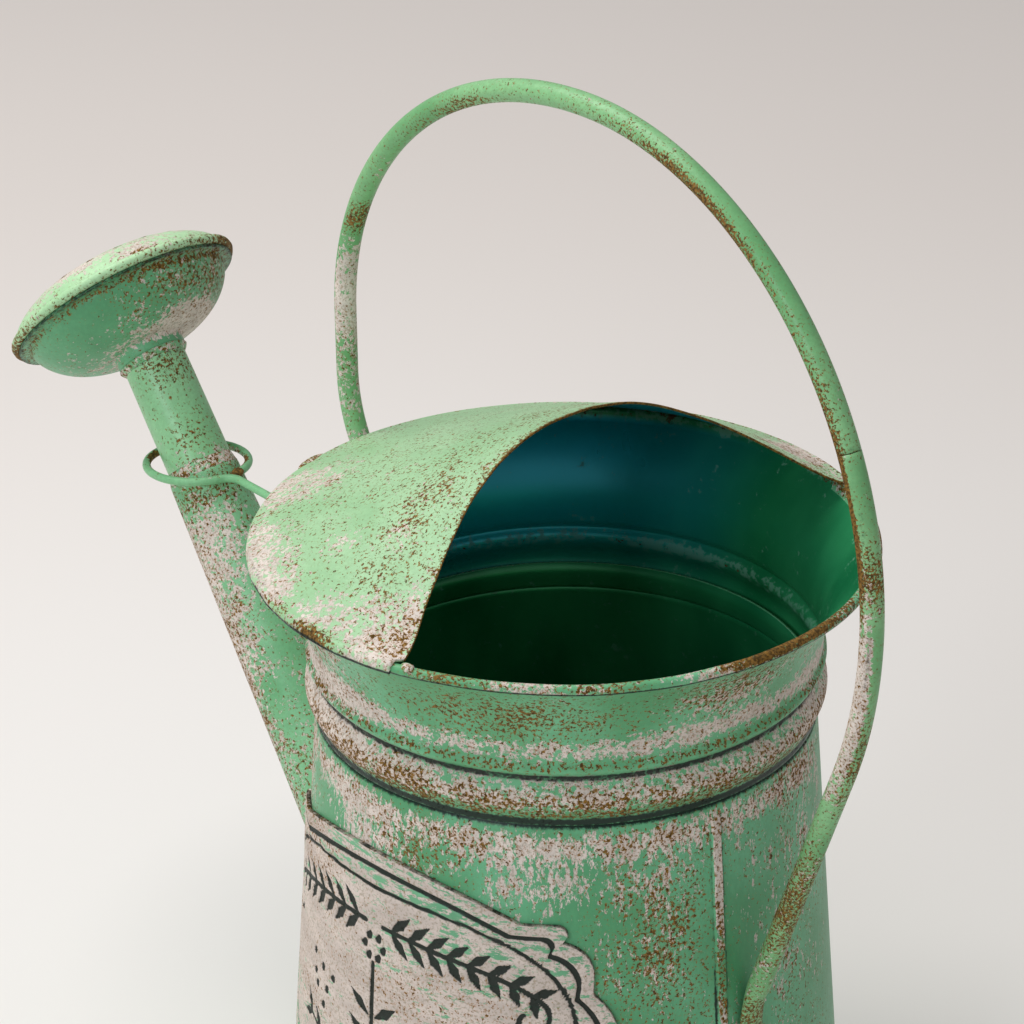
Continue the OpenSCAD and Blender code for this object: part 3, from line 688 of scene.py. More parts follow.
neck_root_r = TIP_D / 2 - SHEET - FIT
neck_slope = (NECK_TIP_D / 2 - neck_root_r) / (NECK_IN + NECK_OUT)
s = np.linspace(SPOUT_LEN - NECK_IN, SPOUT_LEN + NECK_OUT, 60)
r = neck_root_r + neck_slope * (s - s[0])
section = np.concatenate([np.stack([r, s], 1), np.stack([r - SHEET, s], 1)[::-1]])
grid, a = turned(spout_foot, lean, section, 96)
spout_neck = skin("spout_neck", grid)
up_neck = section[:, 1] - SPOUT_LEN
# a dark line just under the rose's solder ring is painted shade
wear(spout_neck, grid, pale=0.14 + bands(up_neck, (0.3, 3, 9), (0.1, 38, 6)),
     rust=0.22 + 0.25 * near(up_neck, 35, 15) * soft(np.cos(a - 0.3), -0.5, 0.8)
     + 0.22 * near(up_neck, 12, 14) * soft(np.cos(a), 0, 1), wash=0.45 * near(up_neck, 38.6, 1.6))
fasten(spout_neck, "rose_neck", "spout_paint",
       paint("neck_paint", (154, 210, 158), (136, 196, 142), gloss=0.36, seed=131.0))


def wiped_joint(name, origin, lean, path, pale, rust, wash=0.0):
    """A ring of solder wiped round a tube's joint."""
    ring, _ = turned(origin, lean, path, 72)
    made = skin(name, ring)
    wear(made, ring, pale=pale, rust=rust, wash=wash)
    fasten(made, None, "spout_paint", spout_paint)


spout_end_r = TIP_D / 2
wiped_joint("neck_solder", spout_foot, lean, [
    (neck_root_r - 0.1, SPOUT_LEN - 0.1), (spout_end_r - 0.15, SPOUT_LEN - 0.2),
    (spout_end_r - 0.05, SPOUT_LEN + 0.2), (spout_end_r - 0.35, SPOUT_LEN + 1.2),
    (neck_root_r + 0.15, SPOUT_LEN + 3.0), (neck_root_r - 0.15, SPOUT_LEN + 4.0)], 0.62, 0.42)


def sweep(path, sizes, sides, wide):
    """The points of a tube along a path. Each size is its width, along wide, and its thickness."""
    path, sizes = np.asarray(path, float), np.asarray(sizes, float)
    run = np.gradient(path, axis=0)
    run /= np.linalg.norm(run, axis=1)[:, None]
    side = np.cross(wide, run)
    side /= np.linalg.norm(side, axis=1)[:, None]
    upward = np.cross(run, side)
    b = all_round(sides)[None]
    off = sizes[:, None, 1:2] / 2 * np.cos(b) * side[:, None] \
        + sizes[:, None, 0:1] / 2 * np.sin(b) * upward[:, None]
    return path[:, None] + off, off / np.linalg.norm(off, axis=-1)[..., None]


def solder(name, slot, material, middle, size, seed, pale=0.5, rust=0.4, wash=0.2, turn=0):
    """A lump of solder: a ball pressed to a size, with an uneven skin, turned by an angle."""
    u = np.linspace(0.02, math.pi - 0.02, 22)[:, None]
    v = all_round(36).T
    ball = np.stack(np.broadcast_arrays(np.sin(u) * np.cos(v), np.sin(u) * np.sin(v), np.cos(u)), -1)
    swollen = 1 + 0.10 * ripple(ball[..., 0] * 3, seed) + 0.08 * ripple(ball[..., 2] * 4, seed + 1)
    lump = ball * swollen[..., None] * size
    if turn:
        lump = lump @ np.array([[math.cos(turn), math.sin(turn), 0],
                                [-math.sin(turn), math.cos(turn), 0], [0, 0, 1]])
    made = skin(name, lump + middle, rounds=(False, True), caps=True)
    wear(made, lump, pale=pale, rust=rust, wash=wash)
    fasten(made, None, slot, material)


# a bead of solder round the spout's root, where its skin meets the drum
a = all_round(120)
root_r = spout_r(start_out)
foot_ring = along(spout_foot, lean,
                  np.stack([root_r * np.cos(a), root_r * np.sin(a), start_out], -1))[:, 0]
closed = np.concatenate([foot_ring[-2:], foot_ring, foot_ring[:2]])
thickness = 2.3 + 0.5 * ripple(np.arange(len(closed)) / 6, 55)
thickness[-4:] = thickness[:4]
bead = sweep(closed, np.stack([thickness, thickness], 1), 14, (1.0, 0.02, 0.6))[0][2:-2]
root_solder = skin("root_solder", bead)
wear(root_solder, bead, pale=0.45, rust=0.4, wash=0.42)
fasten(root_solder, None, "spout_paint", spout_paint)


# ---- the rose ----
# A spun cup whose ferrule is soldered a little askew on the neck, closed by a domed plate with
# spray holes. The plate's edge is rolled over the cup's rim, and the roll is worn to rust.
ROSE_TILT, ROSE_D, ROSE_DEPTH, ROSE_ROLL_D, OVERHANG = 6.5, 77.2, 15.0, 3.2, 5.0
FERRULE_H, CROWN, SPRAY_D, SPRAY_RINGS = 4.0, 12.2, 2.0, 3
rose_lean = math.radians(SPOUT_LEAN + ROSE_TILT)
rose_foot = along(spout_foot, lean, [0, 0, SPOUT_LEN + NECK_OUT])
rose_r, cup_r = (ROSE_D - ROSE_ROLL_D) / 2, ROSE_D / 2 - OVERHANG
ferrule_r, rose_end = NECK_TIP_D / 2 + 0.4 + SHEET, FERRULE_H + ROSE_DEPTH
q = np.radians(np.linspace(0, 90, 44))
cup_path = [(ferrule_r, 0.0), (ferrule_r, 1.5), (ferrule_r, FERRULE_H - 0.5)] \
    + list(zip(ferrule_r + 0.4 + (cup_r - ferrule_r - 0.4) * np.sin(q),
               FERRULE_H + (ROSE_DEPTH - 1) * (1 - np.cos(q) ** 1.3))) \
    + [(cup_r + 0.3, rose_end - 0.3), (rose_r - 1, rose_end - 0.1), (rose_r, rose_end)]
section = np.concatenate(thick(cup_path))
grid, a = turned(rose_foot, rose_lean, section, 132)
rose_cup = skin("rose_cup", grid)
s = section[:, 1]
rear_side = soft(np.cos(a - 0.5), 0.1, 0.95)
# near its rim the cup is darker: painted shade under the plate's roll
wear(rose_cup, grid,
     pale=0.17 + 0.5 * near(s, 5.5, 3.4) * soft(np.cos(a - 0.9), 0.2, 1) + 0.3 * near(s, 4, 2)
     + 0.22 * rear_side + 0.18 * near(s, 8, 6) * soft(np.cos(a + 1.4), 0.2, 1),
     rust=0.24 + 0.26 * rear_side * near(s, 12, 9) + 0.3 * near(s, rose_end - 1, 2.4),
     wash=0.45 * soft(section[:, 0], 35.4, 36.6) + 0.24 * near(s, rose_end - 0.6, 3))
fasten(rose_cup, "rose_bowl", "rose_paint",
       paint("rose_paint", (106, 174, 128), (86, 154, 108), seed=151.0))

wiped_joint("rose_solder", rose_foot, rose_lean, [
    (NECK_TIP_D / 2 - 0.3, 0.3), (ferrule_r + 0.1, 0.2), (ferrule_r + 0.3, -0.1),
    (ferrule_r - 0.2, -0.9), (NECK_TIP_D / 2 + 0.3, -1.7), (NECK_TIP_D / 2 - 0.3, -2.2)],
    0.55, 0.42, 0.1)

PLATE_S = rose_end + SHEET + FIT + ROSE_ROLL_D / 2


def crown_height(r):
    """Height of the plate at a distance from its middle: a dome with a steep shoulder."""
    c = np.clip(np.asarray(r) / rose_r, 0, 1) ** (1 / 0.75)
    return CROWN * np.sqrt(np.clip(1 - c * c, 0, 1)) ** 1.2




def ring_of(r, steps, x=0.0, y=0.0):
    """Points of a ring round (x, y)."""
    return [(x + r * math.cos(t), y + r * math.sin(t)) for t in np.arange(steps) * 2 * math.pi / steps]


SPRAY_R, HOLE_SIDES, DOT_GAP = SPRAY_D / 2, 16, 1.3
holes = [(0.0, 0.0)]
for row in range(1, SPRAY_RINGS + 1):
    holes += ring_of(row * rose_r / (SPRAY_RINGS + 1), 6 * row)
# the plate is drawn flat: rings of dots, clear of the holes, then the outline of each hole
dots, edges = [], []
for k in np.radians(np.linspace(0, 86, 40)):
    r = rose_r * math.cos(k) ** 0.75
    steps = max(8, int(2 * math.pi * r / DOT_GAP))
    dots += [(u, v) for u, v in ring_of(r, steps)
             if all(math.hypot(u - x, v - y) > SPRAY_R + 0.7 for x, y in holes)]
    if k == 0:
        edges += [(i, (i + 1) % steps) for i in range(steps)]
for x, y in holes:
    dots += ring_of(SPRAY_R + 0.4, HOLE_SIDES, x, y)
    first_dot = len(dots)
    dots += ring_of(SPRAY_R, HOLE_SIDES, x, y)
    edges += [(first_dot + i, first_dot + (i + 1) % HOLE_SIDES) for i in range(HOLE_SIDES)]
made_dots, _, triangles, *_ = delaunay_2d_cdt([Vector(d) for d in dots], edges, [], 0, 1e-5)
flat_dots = np.array([tuple(d) for d in made_dots])
kept = [t for t in triangles
        if all(np.hypot(*(flat_dots[list(t)].mean(0) - hole)) > SPRAY_R for hole in holes)
        and np.hypot(*flat_dots[list(t)].mean(0)) < rose_r]
radius = np.hypot(flat_dots[:, 0], flat_dots[:, 1])
from_hole = np.min([np.hypot(flat_dots[:, 0] - x, flat_dots[:, 1] - y) for x, y in holes], axis=0)
lift = crown_height(radius) + 0.10 * soft(from_hole, SPRAY_R + 0.9, SPRAY_R)
count = len(flat_dots)
both = np.concatenate([np.column_stack([flat_dots, PLATE_S + lift]),
                       np.column_stack([flat_dots * (1 - SHEET / rose_r), PLATE_S + lift - SHEET])])
points = along(rose_foot, rose_lean, both)
seen = {}
for t in kept:
    for i in range(3):
        seen.setdefault(frozenset((t[i], t[(i + 1) % 3])), []).append((t[i], t[(i + 1) % 3]))
walls = [(j, i, i + count, j + count) for pairs in seen.values() if len(pairs) == 1
         for i, j in pairs]
mesh = bpy.data.meshes.new("rose_plate")
mesh.from_pydata((points * MM).tolist(), [],
                 [tuple(t) for t in kept] + [tuple(k + count for k in t[::-1]) for t in kept] + walls)
mesh.polygons.foreach_set("use_smooth", np.ones(len(mesh.polygons), bool))
outward(mesh)
rose_plate = bpy.data.objects.new("rose_plate", mesh)
bpy.context.collection.objects.link(rose_plate)
radius, from_hole = np.tile(radius, 2), np.tile(from_hole, 2)
# darker at its rim and round each hole: painted shade
wear(rose_plate, points,
     pale=0.32 + 0.2 * near(radius, 30, 8)
     + round_spots(points, [(-187, -10, 247, 9, 0.35), (-206, -20, 236, 12, 0.25)]),
     rust=0.2 + 0.3 * soft(from_hole, SPRAY_R + 0.8, SPRAY_R) + 0.12 * soft(radius, 34.5, 36.8)
     + round_spots(points, [(-187, -10, 247, 5, 0.3)]),
     wash=0.35 * soft(radius, 35.6, 36.8) + 0.5 * soft(from_hole, SPRAY_R + 0.3, SPRAY_R))
# a lighter green than the cup's: a painted highlight of the overhead light on the crown
plate_paint = paint("plate_paint", (184, 222, 176), (162, 208, 158), gloss=0.46, seed=171.0)
fasten(rose_plate, "rose_face", "rose_face_paint", plate_paint)

b = all_round(20)[:, 0]
rim_path = np.stack([rose_r + ROSE_ROLL_D / 2 * np.cos(b), PLATE_S + ROSE_ROLL_D / 2 * np.sin(b)], 1)
a = all_round(180)
grid, _ = turned(rose_foot, rose_lean, rim_path, len(a),
                 push=0.12 * ripple(a * 9, 58) - 0.1 + 0.05 * ripple(a * 23, 59))
rose_roll = skin("rose_roll", grid)
under = soft(np.sin(b), 0.1, -0.8)
# the two ends of the rim, as it is seen from the side, are worn most
ends = np.abs(np.sin(a + 0.54)) ** 5
# its underside is darker: painted shade
wear(rose_roll, grid, pale=0.24 + 0.15 * ripple(a * 8, 60), rust=0.28 + 0.10 * under + 0.46 * ends,
     wash=0.22 * under)
fasten(rose_roll, None, "rose_face_paint", plate_paint)


# ---- the stay ----
# A length of wire, one end soldered to the collar's bead, the other wound once round the spout.
# The loop rubs the paint off the spout, and its two sides have rusted.
STAY_D, STAY_DROP, LOOP_NEAR, LOOP_FAR, LOOP_SIDE, LOOP_TILT = 2.6, 39.2, 0.6, 2.6, 2.8, 4.5
BEND_R, LOOP_STOP, STEM_STEPS, BEND_STEPS, LOOP_STEPS = 5.0, -344.0, 30, 14, 130
stay_z = CAN_H - STAY_DROP
stay_s = (stay_z - SPOUT_Z) / math.cos(lean)
loop_a = spout_r(stay_s) / math.cos(lean) + (STAY_D + LOOP_NEAR + LOOP_FAR) / 2
loop_b = spout_r(stay_s) + STAY_D / 2 + LOOP_SIDE
loop_x = -wall_r(SPOUT_Z) - stay_s * math.sin(lean) - (LOOP_FAR - LOOP_NEAR) / 2
bead_swell = math.sin(math.pi * (stay_z - BEAD_Z) / BEAD_H) ** SWELL_POWER
bead_out = SHOULDER_R + BEAD_STEP / 2 + BEAD_OUT * bead_swell
stem_x = -bead_out - 3 * FIT - loop_x
bend_angle = -math.asin(BEND_R / (loop_b + BEND_R))
bend = ((loop_b + BEND_R) * math.cos(bend_angle), -BEND_R)
stretch = loop_a / loop_b
loop_stop = math.radians(LOOP_STOP)
flat_route = np.array([(x, 0) for x in np.linspace(stem_x / stretch, bend[0], STEM_STEPS)[:-1]]
                      + bow(bend, BEND_R, math.pi / 2, math.pi + bend_angle, BEND_STEPS)
                      + bow((0, 0), loop_b, bend_angle, loop_stop, LOOP_STEPS)[1:])
route = np.stack([loop_x + flat_route[:, 0] * stretch, flat_route[:, 1],
                  stay_z + np.minimum(flat_route[:, 0], bend[0]) * stretch
                  * math.tan(math.radians(LOOP_TILT))], 1)
run = np.linspace(0, 1, len(route))
girth = STAY_D * (1 + 0.012 * ripple(run * 40, 61))
grid, facing = sweep(route, np.stack([girth, girth], 1), 18, (0, 0, 1))
stay = skin("stay", grid, rounds=(False, True), caps=True)
at_loop = soft(run, 0.2, 0.24)[:, None]
around = np.concatenate([np.zeros(STEM_STEPS + BEND_STEPS - 2),
                         np.linspace(bend_angle, loop_stop, LOOP_STEPS)])[:, None]
inward = -(facing[..., 0] * np.cos(around) + facing[..., 1] * np.sin(around))
sides = np.maximum(near(around, math.radians(-150), 0.5), near(around, math.radians(-318), 0.45))
# the loop's downward side is darker: painted shade
wear(stay, grid, pale=0.18 + 0.3 * at_loop * soft(inward, 0, 1),
     rust=0.16 + at_loop * (0.3 * soft(inward, 0.1, 0.9) + 0.85 * sides * soft(inward, -0.5, 0.4)),
     wash=0.3 * at_loop * soft(-facing[..., 2], 0.2, 1))
wire_paint = paint("wire_paint", (138, 198, 146), (116, 180, 128), seed=191.0)
fasten(stay, "stay_wire", "wire_paint", wire_paint)
solder("stay_solder", "wire_paint", wire_paint, route[0] + (0.7, 0, 0), (2.4, 3.4, 3.0), 62,
       pale=0.5, rust=0.5)
solder("loop_solder", "wire_paint", wire_paint, route[-1] + (0.4, -0.9, 0.0), (1.7, 1.9, 1.5), 64,
       pale=0.35, rust=0.95, wash=0.3)


# ---- the handle ----
# Two lengths of steel tube that butt behind the arch. The front one is brazed to the rim, and the
# back one is crushed flat at its foot and brazed to the drum beside the seam. Hands have worn the
# paint, and the inner side has rusted where water stands on it.
TUBE_D, ARCH_TOP, ARCH_BACK, FRONT_ROUND, BACK_ROUND = 6.4, 130.4, 32.6, 92.0, 112.0
BUTT_ANGLE, BUTT_GAP, FRONT_BEND_R, FRONT_BEND = 25.0, 0.12, 45.0, 29.5
LEG_BEND_R, LEG_LEAN, TAB_W, TAB_T, TAB_L, FOOT_CLEAR = 130.0, 20.5, 8.4, 2.6, 16.0, 0.3
CRUSH_CLEAR, TAB_CLEAR, ARCH_HEART = 2.2, FIT + 0.2, 40.0
front_bend = math.radians(FRONT_BEND)
front_x = -(RIM_R + LIP_OUT + TUBE_D / 2 * math.cos(front_bend)
            + FRONT_BEND_R * (1 - math.cos(front_bend)))
back_x = RIM_R + ARCH_BACK
arch_x, arch_half = (front_x + back_x) / 2, (back_x - front_x) / 2


def arch_quarter(rise, start, end, steps):
    t = np.radians(np.linspace(start, end, steps))
    return np.stack([arch_x + arch_half * np.cos(t), CAN_H + ARCH_TOP - rise + rise * np.sin(t)], 1)


foot_mid = (front_x + FRONT_BEND_R,
            CAN_H + FRONT_BEND_R * math.sin(front_bend) - TUBE_D / 2 + FOOT_CLEAR)
front_flat = np.concatenate([
    bow(foot_mid, FRONT_BEND_R, math.pi + front_bend, math.pi, 16),
    [(front_x, z) for z in np.linspace(foot_mid[1], CAN_H + ARCH_TOP - FRONT_ROUND, 9)[1:-1]],
    arch_quarter(FRONT_ROUND, 180, 90, 110), arch_quarter(BACK_ROUND, 90, BUTT_ANGLE, 74)[1:]])


def handle_tube(name, flat, sizes, seed):
    """A tube in the plane of the handle, and for each of its points how much it faces the inside
    of the arch, how much it faces the camera's side, and its height."""
    path = np.stack([flat[:, 0], 0 * flat[:, 0], flat[:, 1]], 1)
    length = np.concatenate([[0], np.cumsum(np.linalg.norm(np.diff(path, axis=0), axis=1))])
    sizes = np.asarray(sizes) * (1 + 0.008 * ripple(length / 16, seed))[:, None]
    grid, facing = sweep(path, sizes, 36, (0, 1, 0))
    made = skin(name, grid, rounds=(False, True), caps=True)
    inner = np.array([arch_x, 0, CAN_H + ARCH_HEART]) - path
    inner /= np.linalg.norm(inner, axis=1)[:, None]
    return made, (facing * inner[:, None]).sum(-1), -facing[..., 1], grid, length[:, None]


sizes = np.full((len(front_flat), 2), TUBE_D)
handle_front, inner, near_side, grid, length = handle_tube("handle_front", front_flat, sizes, 66)
x, z = grid[..., 0], grid[..., 2]
past_top = soft(x, 0, 40)
pale = 0.16 + 0.72 * near(z, 258, 34) * (x < 0) * soft(inner, -0.9, 0.0) \
    + 0.30 * near(z, 228, 18) * (x < 0) + 0.18 * past_top * soft(inner, 0.2, 0.8) \
    + 0.2 * near(z, 300, 20) * (x < 0) * soft(inner, 0, 1) + 0.25 * (length < 6)
rust = 0.28 + past_top * soft(inner, -1.0, 0.0) * (0.34 + 0.12 * ripple(length / 12, 67)) \
    + 0.42 * near(z, 285, 9) * (x < 0) * soft(inner, -0.6, 0.2) \
    + 0.3 * near(x, -42, 30) * soft(inner, -0.6, 0.6) * (z > 310) \
    + 0.14 * near(z, 240, 14) * (x < 0) + 0.5 * soft(z, 291, 284) * (x > 0) * soft(inner, 0.2, 0.8)
wash = 0.25 * soft(z, 286, 283.6) * (x > 60) + 0.25 * (x < 0) * near(z, 236, 8) * soft(inner, 0, 1)
wear(handle_front, grid, pale=pale, rust=rust, wash=wash)
handle_paint = paint("handle_paint", (138, 192, 136), (106, 168, 110), gloss=0.38, seed=211.0,
                     speck=0.75)
fasten(handle_front, "handle_arch", "handle_paint", handle_paint)

back_end = np.array([back_x, CAN_H + ARCH_TOP - BACK_ROUND])
leg_lean = math.radians(LEG_LEAN)
leg_bend = bow(back_end - (LEG_BEND_R, 0), LEG_BEND_R, 0, -leg_lean, 44)
leg_top = np.array(leg_bend[-1])
crush_off, tab_off = TUBE_D / 2 + CRUSH_CLEAR, TAB_T / 2 + TAB_CLEAR
leg_l = (leg_top[0] - wall_r(leg_top[1]) - crush_off) / (math.sin(leg_lean)
                                                         + SLOPE * math.cos(leg_lean))
leg_end = leg_top + leg_l * np.array([-math.sin(leg_lean), -math.cos(leg_lean)])
crush_l = 2 * (crush_off - tab_off) / (math.tan(leg_lean) + SLOPE)
left_round = np.linspace(1, 0, 25)[1:] ** 2
crush_z = leg_end[1] - crush_l * np.linspace(0, 1, 25)[1:]
tab_z = leg_end[1] - crush_l - TAB_L * np.linspace(0, 1, 13)[1:]
back_flat = np.concatenate([
    arch_quarter(BACK_ROUND, BUTT_ANGLE - BUTT_GAP, 0, 40), leg_bend[1:],
    leg_top + (leg_end - leg_top) * np.linspace(0, 1, 40)[1:, None],
    np.stack([wall_r(crush_z) + tab_off + (crush_off - tab_off) * left_round, crush_z], 1),
    np.stack([wall_r(tab_z) + tab_off, tab_z], 1)])
round_count = len(back_flat) - len(crush_z) - len(tab_z)
flatness = np.concatenate([np.ones(round_count), left_round, np.zeros(len(tab_z))])[:, None]
end_round = np.concatenate([np.ones(len(back_flat) - 6), [0.99, 0.96, 0.9, 0.8, 0.62, 0.3]])[:, None]
sizes = (np.array([TAB_W, TAB_T]) + flatness * np.array([TUBE_D - TAB_W, TUBE_D - TAB_T]))
sizes = sizes * np.concatenate([end_round, np.ones_like(end_round)], 1)
handle_back, inner, near_side, grid, length = handle_tube("handle_back", back_flat, sizes, 68)
z = grid[..., 2]
pale = 0.18 + 0.70 * near(z, 214, 52) * soft(near_side + 0.3 * inner, 0.0, 0.8) \
    + bands(z, (0.3, 150, 26), (0.26, 118, 20))
rust = 0.28 + 1.1 * near(z, 272, 50) * soft(inner, -0.30, 0.12) \
    + 0.294 * near(z, 250, 14) * soft(-inner, -0.2, 0.6) \
    + 0.24 * near(z, 192, 24) * soft(-inner, 0.4, 0.9) \
    + bands(z, (0.36, 142, 40), (0.04, 210, 40)) + 0.28 * soft(z, 112, 98)
# painted shade darkens the leg's outer side and the sides of its pale streak, painted shadow its foot
wash = 0.3 * near(z, 206, 44) * near(near_side + 0.25 * ripple(length / 9, 77), 0.35, 0.3) \
    + 0.35 * soft(z, 284, 286) \
    + 0.8 * near(inner, -0.5, 0.32) * near(z, 242, 44) * (0.6 + 0.5 * ripple(length / 5, 69)) \
    + 0.3 * soft(z, 100, 88)
wear(handle_back, grid, pale=pale, rust=rust, wash=wash)
fasten(handle_back, "handle_leg", "handle_paint", handle_paint)
foot = np.array([front_flat[0][0], 0, front_flat[0][1]])
solder("front_braze", "handle_paint", handle_paint, foot + (1.1, 0, 0.7), (3.1, 4.6, 2.4), 70,
       pale=0.72, rust=0.45, wash=0.15)
tab_mid = np.array([wall_r(back_flat[-7][1]) + 0.5, 0, back_flat[-7][1]])
solder("foot_braze", "handle_paint", handle_paint, tab_mid, (0.8, 6.2, 9.5), 72,
       pale=0.4, rust=0.55, wash=0.5)


def on_rim(bearing, out, up):
    """A point by the rolled rim, so far outside its middle and above it."""
    return (RIM_R + out) * math.cos(bearing), (RIM_R + out) * math.sin(bearing), CAN_H + up


solder("corner_braze", "hood_paint", handle_paint, on_rim(math.radians(-69.4), 0.2, 1.4),
       (2.3, 1.6, 1.1), 76, pale=0.62, rust=0.45, wash=0.0)
lap_at = math.radians(-164)
solder("rim_lap", "hood_paint", handle_paint, on_rim(lap_at, 1.2, 1.2), (1.8, 6.6, 1.5), 74,
       pale=0.65, rust=0.55, wash=0.0, turn=lap_at)


# ---- the label plate ----
# A stamped plate soldered to the drum: a raised border with stepped shoulders, two grooves, and an
# engraved garland of leaves over a sprig. It is painted pale, with the green showing in scratches,
# and dark paint has stayed in everything that is cut in. The garland stands for the maker's words.
LABEL_AT, LABEL_Z, LABEL_W, LABEL_H, LABEL_T = -86.0, 95.0, 151.0, 102.0, 1.3
LABEL_R = wall_r(LABEL_Z)
GROOVE_CUT, FIELD_CUT, LINE_CUT, FIELD_W, FIELD_H, FIELD_POWER = 0.6, 0.16, 0.5, 63, 40, 2.6
GARLAND_W, GARLAND_H, GARLAND_MID = 56, 17.5, 11


def label_outline(less):
    """The plate's outline in (u, v), drawn in by less, with the same points for every less."""
    w, h = LABEL_W / 2 - less, LABEL_H / 2 - less
    arch_w, arch_rise = 0.6 * w, 0.2 * h
    big_r = (arch_w ** 2 + arch_rise ** 2) / (2 * arch_rise)
    half = math.asin(arch_w / big_r)
    lobe1, lobe2, step, shoulder = 0.15 * w, 0.34 * w, 0.77 * w - 2, h - arch_rise
    top = math.pi / 2
    quarter = np.array(
        bow((0, h - big_r), big_r, top, top - half, 60) + bow((step - 1, shoulder - 3), 3, top, 0, 12)
        + bow((step + 10 - lobe1, shoulder - 5 - lobe1), lobe1, math.radians(80),
              math.radians(10), 24) + bow((w - lobe2, 0), lobe2, math.radians(50), 0, 40))
    return np.concatenate([quarter, (quarter * (1, -1))[-2::-1], (quarter * (-1, -1))[1:],
                           (quarter * (-1, 1))[-2:0:-1]])


def even(loop, share):
    """Points of a closed loop at the given shares of its point count."""
    closed = np.concatenate([loop, loop[:1]])
    return np.stack([np.interp(share * len(loop), np.arange(len(closed)), closed[:, k])
                     for k in (0, 1)], 1)


rim_loop = label_outline(0)
steps = np.linalg.norm(np.diff(np.concatenate([rim_loop, rim_loop[:1]]), axis=0), axis=1)
share = np.interp(np.linspace(0, steps.sum(), 601)[:-1], np.concatenate([[0], np.cumsum(steps)]),
                  np.linspace(0, 1, len(rim_loop) + 1))
insets = [0, 0, 0.1, 0.35, 0.8, 1.6, 2.6, 3.5, 4.1, 4.4, 4.7, 5.0, 5.3, 5.6, 5.9, 6.5, 7.4, 8.4, 9.4]
front = [even(label_outline(d), share) for d in insets]
centre_rows = [front[-1] * k for k in np.linspace(1, 0.01, 100)[1:]]
back_rows = [front[0] * k for k in np.linspace(0.02, 1, 15)[:-1]]
flat = np.array(back_rows + front + centre_rows)
is_back = (np.arange(len(flat)) <= len(back_rows))[:, None]
inset = np.concatenate([np.full(len(back_rows), -1.0), insets, np.full(len(centre_rows), 20.0)])
u, v = flat[..., 0], flat[..., 1]


def stroke(u, v, lines):
    """Depth, 0 to 1, of engraved strokes (u0, v0, u1, v1, half width at each end)."""
    cut = np.zeros(u.shape)
    for u0, v0, u1, v1, w0, w1 in lines:
        du, dv = u1 - u0, v1 - v0
        t = np.clip(((u - u0) * du + (v - v0) * dv) / max(du * du + dv * dv, 1e-6), 0, 1)
        away = np.hypot(u - u0 - t * du, v - v0 - t * dv) - (w0 + (w1 - w0) * t)
        cut = np.maximum(cut, soft(away, 0.3, -0.3))
    return cut


def leaf(u0, v0, heading, length, fat):
    """A leaf of two strokes that swell in the middle."""
    du, dv = math.cos(heading) * length / 2, math.sin(heading) * length / 2
    return [(u0, v0, u0 + du, v0 + dv, 0.35, fat), (u0 + du, v0 + dv, u0 + 2 * du, v0 + 2 * dv, fat,
                                                    0.15)]


# the garland hangs along the arch of the inner groove
cuts = []
for side in (-1, 1):
    vine = [(side * GARLAND_W * math.sin(k), GARLAND_MID + GARLAND_H * math.cos(k))
            for k in np.arcsin(np.linspace(0.06, 0.97, 34))]
    cuts += [(*vine[k], *vine[k + 1], 0.75, 0.75) for k in range(len(vine) - 1)]
    for k in range(2, len(vine) - 1, 4):
        aim = math.atan2(vine[k][1] - vine[k - 1][1], vine[k][0] - vine[k - 1][0])
        cuts += leaf(*vine[k], aim + 0.8, 9.4 - 0.08 * k, 1.5)
        cuts += leaf(*vine[k], aim - 0.8, 9.4 - 0.08 * k, 1.5)
    # its end curls inwards
    curl = [(side * (49.5 + far * math.cos(t)), 11.5 + far * math.sin(t))
            for t, far in zip(np.linspace(0.65, -3.9, 20), np.linspace(5.9, 2.2, 20))]
    cuts += [(*curl[k], *curl[k + 1], 0.75, 0.65) for k in range(len(curl) - 1)]
    # a sprig in the middle: a stem, two side stems, leaves and round berries
    for m in range(4):
        cuts += leaf(side * 1.5, -28 + 9 * m, math.pi / 2 - side * 0.95, 12 - m, 1.7)
        along_stem = 0.34 + 0.2 * m
        twig = (side * (2 + 32 * along_stem), -30 + 14 * along_stem)
        cuts += leaf(*twig, math.pi / 2 - side * 0.45, 7.5, 1.4)
        cuts += leaf(*twig, math.pi / 2 - side * 1.9, 7.0, 1.3)
    cuts += [(0, -31, side * 34, -16, 0.8, 0.6)]
    for k in range(7):
        turn_by, far = k * 0.9, 4.2 + 3.8 * (k % 2)
        cuts += [(side * (26 + far * math.cos(turn_by)), -2 + far * math.sin(turn_by),
                  side * (26 + far * math.cos(turn_by)) + 0.4, -2 + far * math.sin(turn_by) + 0.8,
                  1.15, 0.8)]
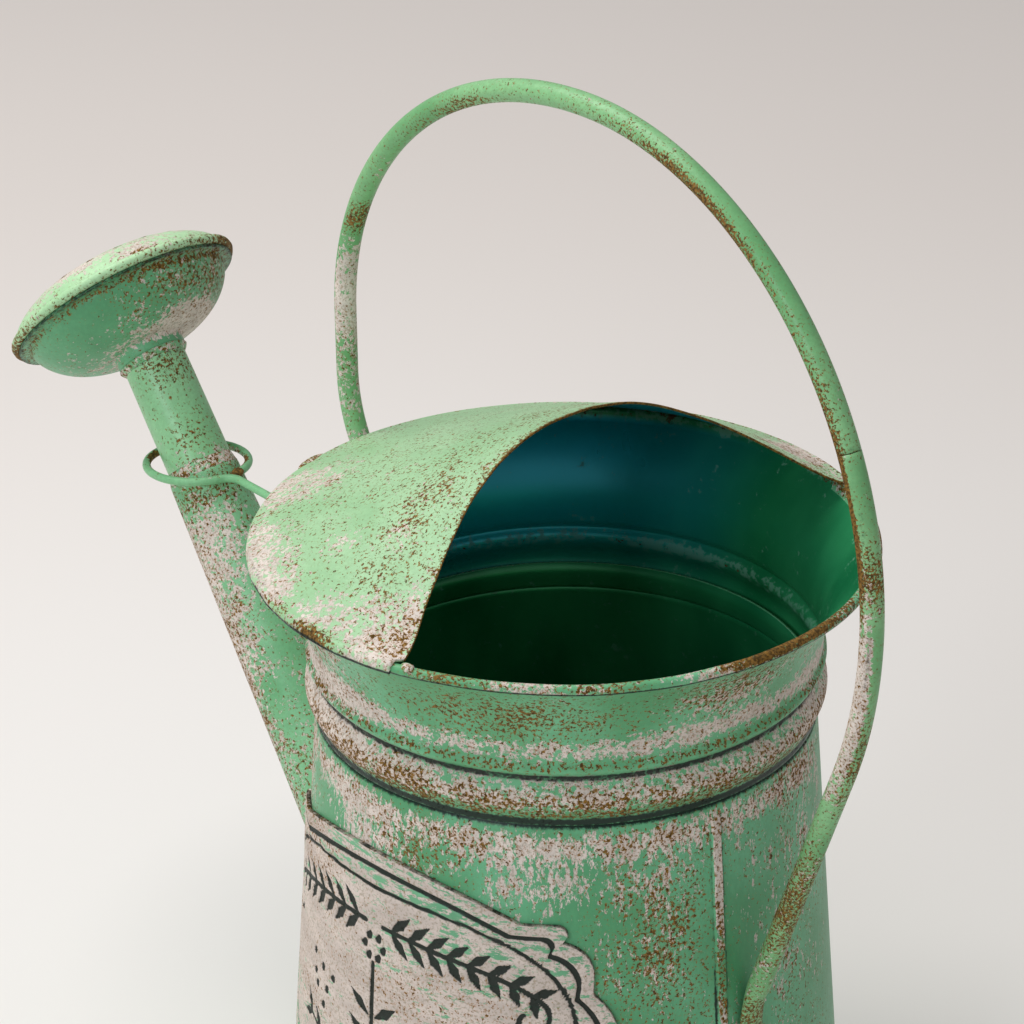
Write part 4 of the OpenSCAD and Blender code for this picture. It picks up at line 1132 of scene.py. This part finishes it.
cuts += [(0, -34, 0, 16, 0.9, 0.7)] + [(3.6 * math.cos(k), 21 + 3.6 * math.sin(k),
                                        3.6 * math.cos(k) + 0.5, 21 + 3.6 * math.sin(k) + 0.9,
                                        1.2, 0.8) for k in np.arange(6) * math.pi / 3]
oval = np.sqrt(np.abs(u / FIELD_W) ** FIELD_POWER + np.abs(v / FIELD_H) ** FIELD_POWER)
to_oval = (oval - 1) * np.hypot(u, v) / np.maximum(oval, 0.05)
groove_1 = soft(np.abs(inset - 5.0), 1.1, 0.45)[:, None]
groove_2 = soft(np.abs(to_oval), 1.15, 0.5)
field = soft(to_oval, 0.4, -0.8)
engraved = np.where(field > 0.5, stroke(u, v, cuts), 0)
rounded = np.interp(inset, [-1, 0, 0.1, 0.35, 0.8], [0, 0.45, 0.14, 0.02, 0])[:, None]
rounded = rounded + 0.10 * soft(inset, 0, 1)[:, None] * ripple(u / 7, 81) * ripple(v / 9, 82)
depth = LABEL_T + FIT - rounded - GROOVE_CUT * groove_1 - GROOVE_CUT * groove_2 \
    - FIELD_CUT * field - LINE_CUT * engraved
z = LABEL_Z + v
r = wall_r(z) + np.where(is_back, FIT, depth)
spread = np.arcsin(np.clip(LABEL_R * np.sin(u / LABEL_R) / (wall_r(z) + 0.7), -1, 1))
bearing = math.radians(LABEL_AT) + spread
grid = np.stack([r * np.cos(bearing), r * np.sin(bearing), z], -1)
label = skin("label", grid, rounds=(False, True), caps=True)
rim_line = soft(inset, 0.5, 0.1)[:, None]
band = soft(inset, 5.4, 6.2)[:, None] * (1 - field)
pale = 0.76 - 0.12 * band - 0.16 * near(inset, 1.4, 1.5)[:, None] \
    + 0.07 * ripple(u / 17, 83) + 0.05 * ripple(v / 13, 84)
rust = 0.14 + 0.14 * soft(ripple(u / 21, 85) * ripple(v / 9, 86), 0.1, 0.6) + 0.16 * rim_line
cut_in = np.maximum(np.maximum(groove_1, groove_2), engraved)
# the dark line along the plate's edge is painted shadow where it meets the drum
wear(label, grid, pale=pale, rust=rust, wash=np.maximum(1.2 * cut_in, 0.6 * rim_line))
fasten(label, "label_plate", "label_paint",
       paint("label_paint", (118, 180, 138), (96, 158, 118), pale_colour=(212, 198, 188), seed=231.0,
             lie=(0.3, 0.3, 1.0)))
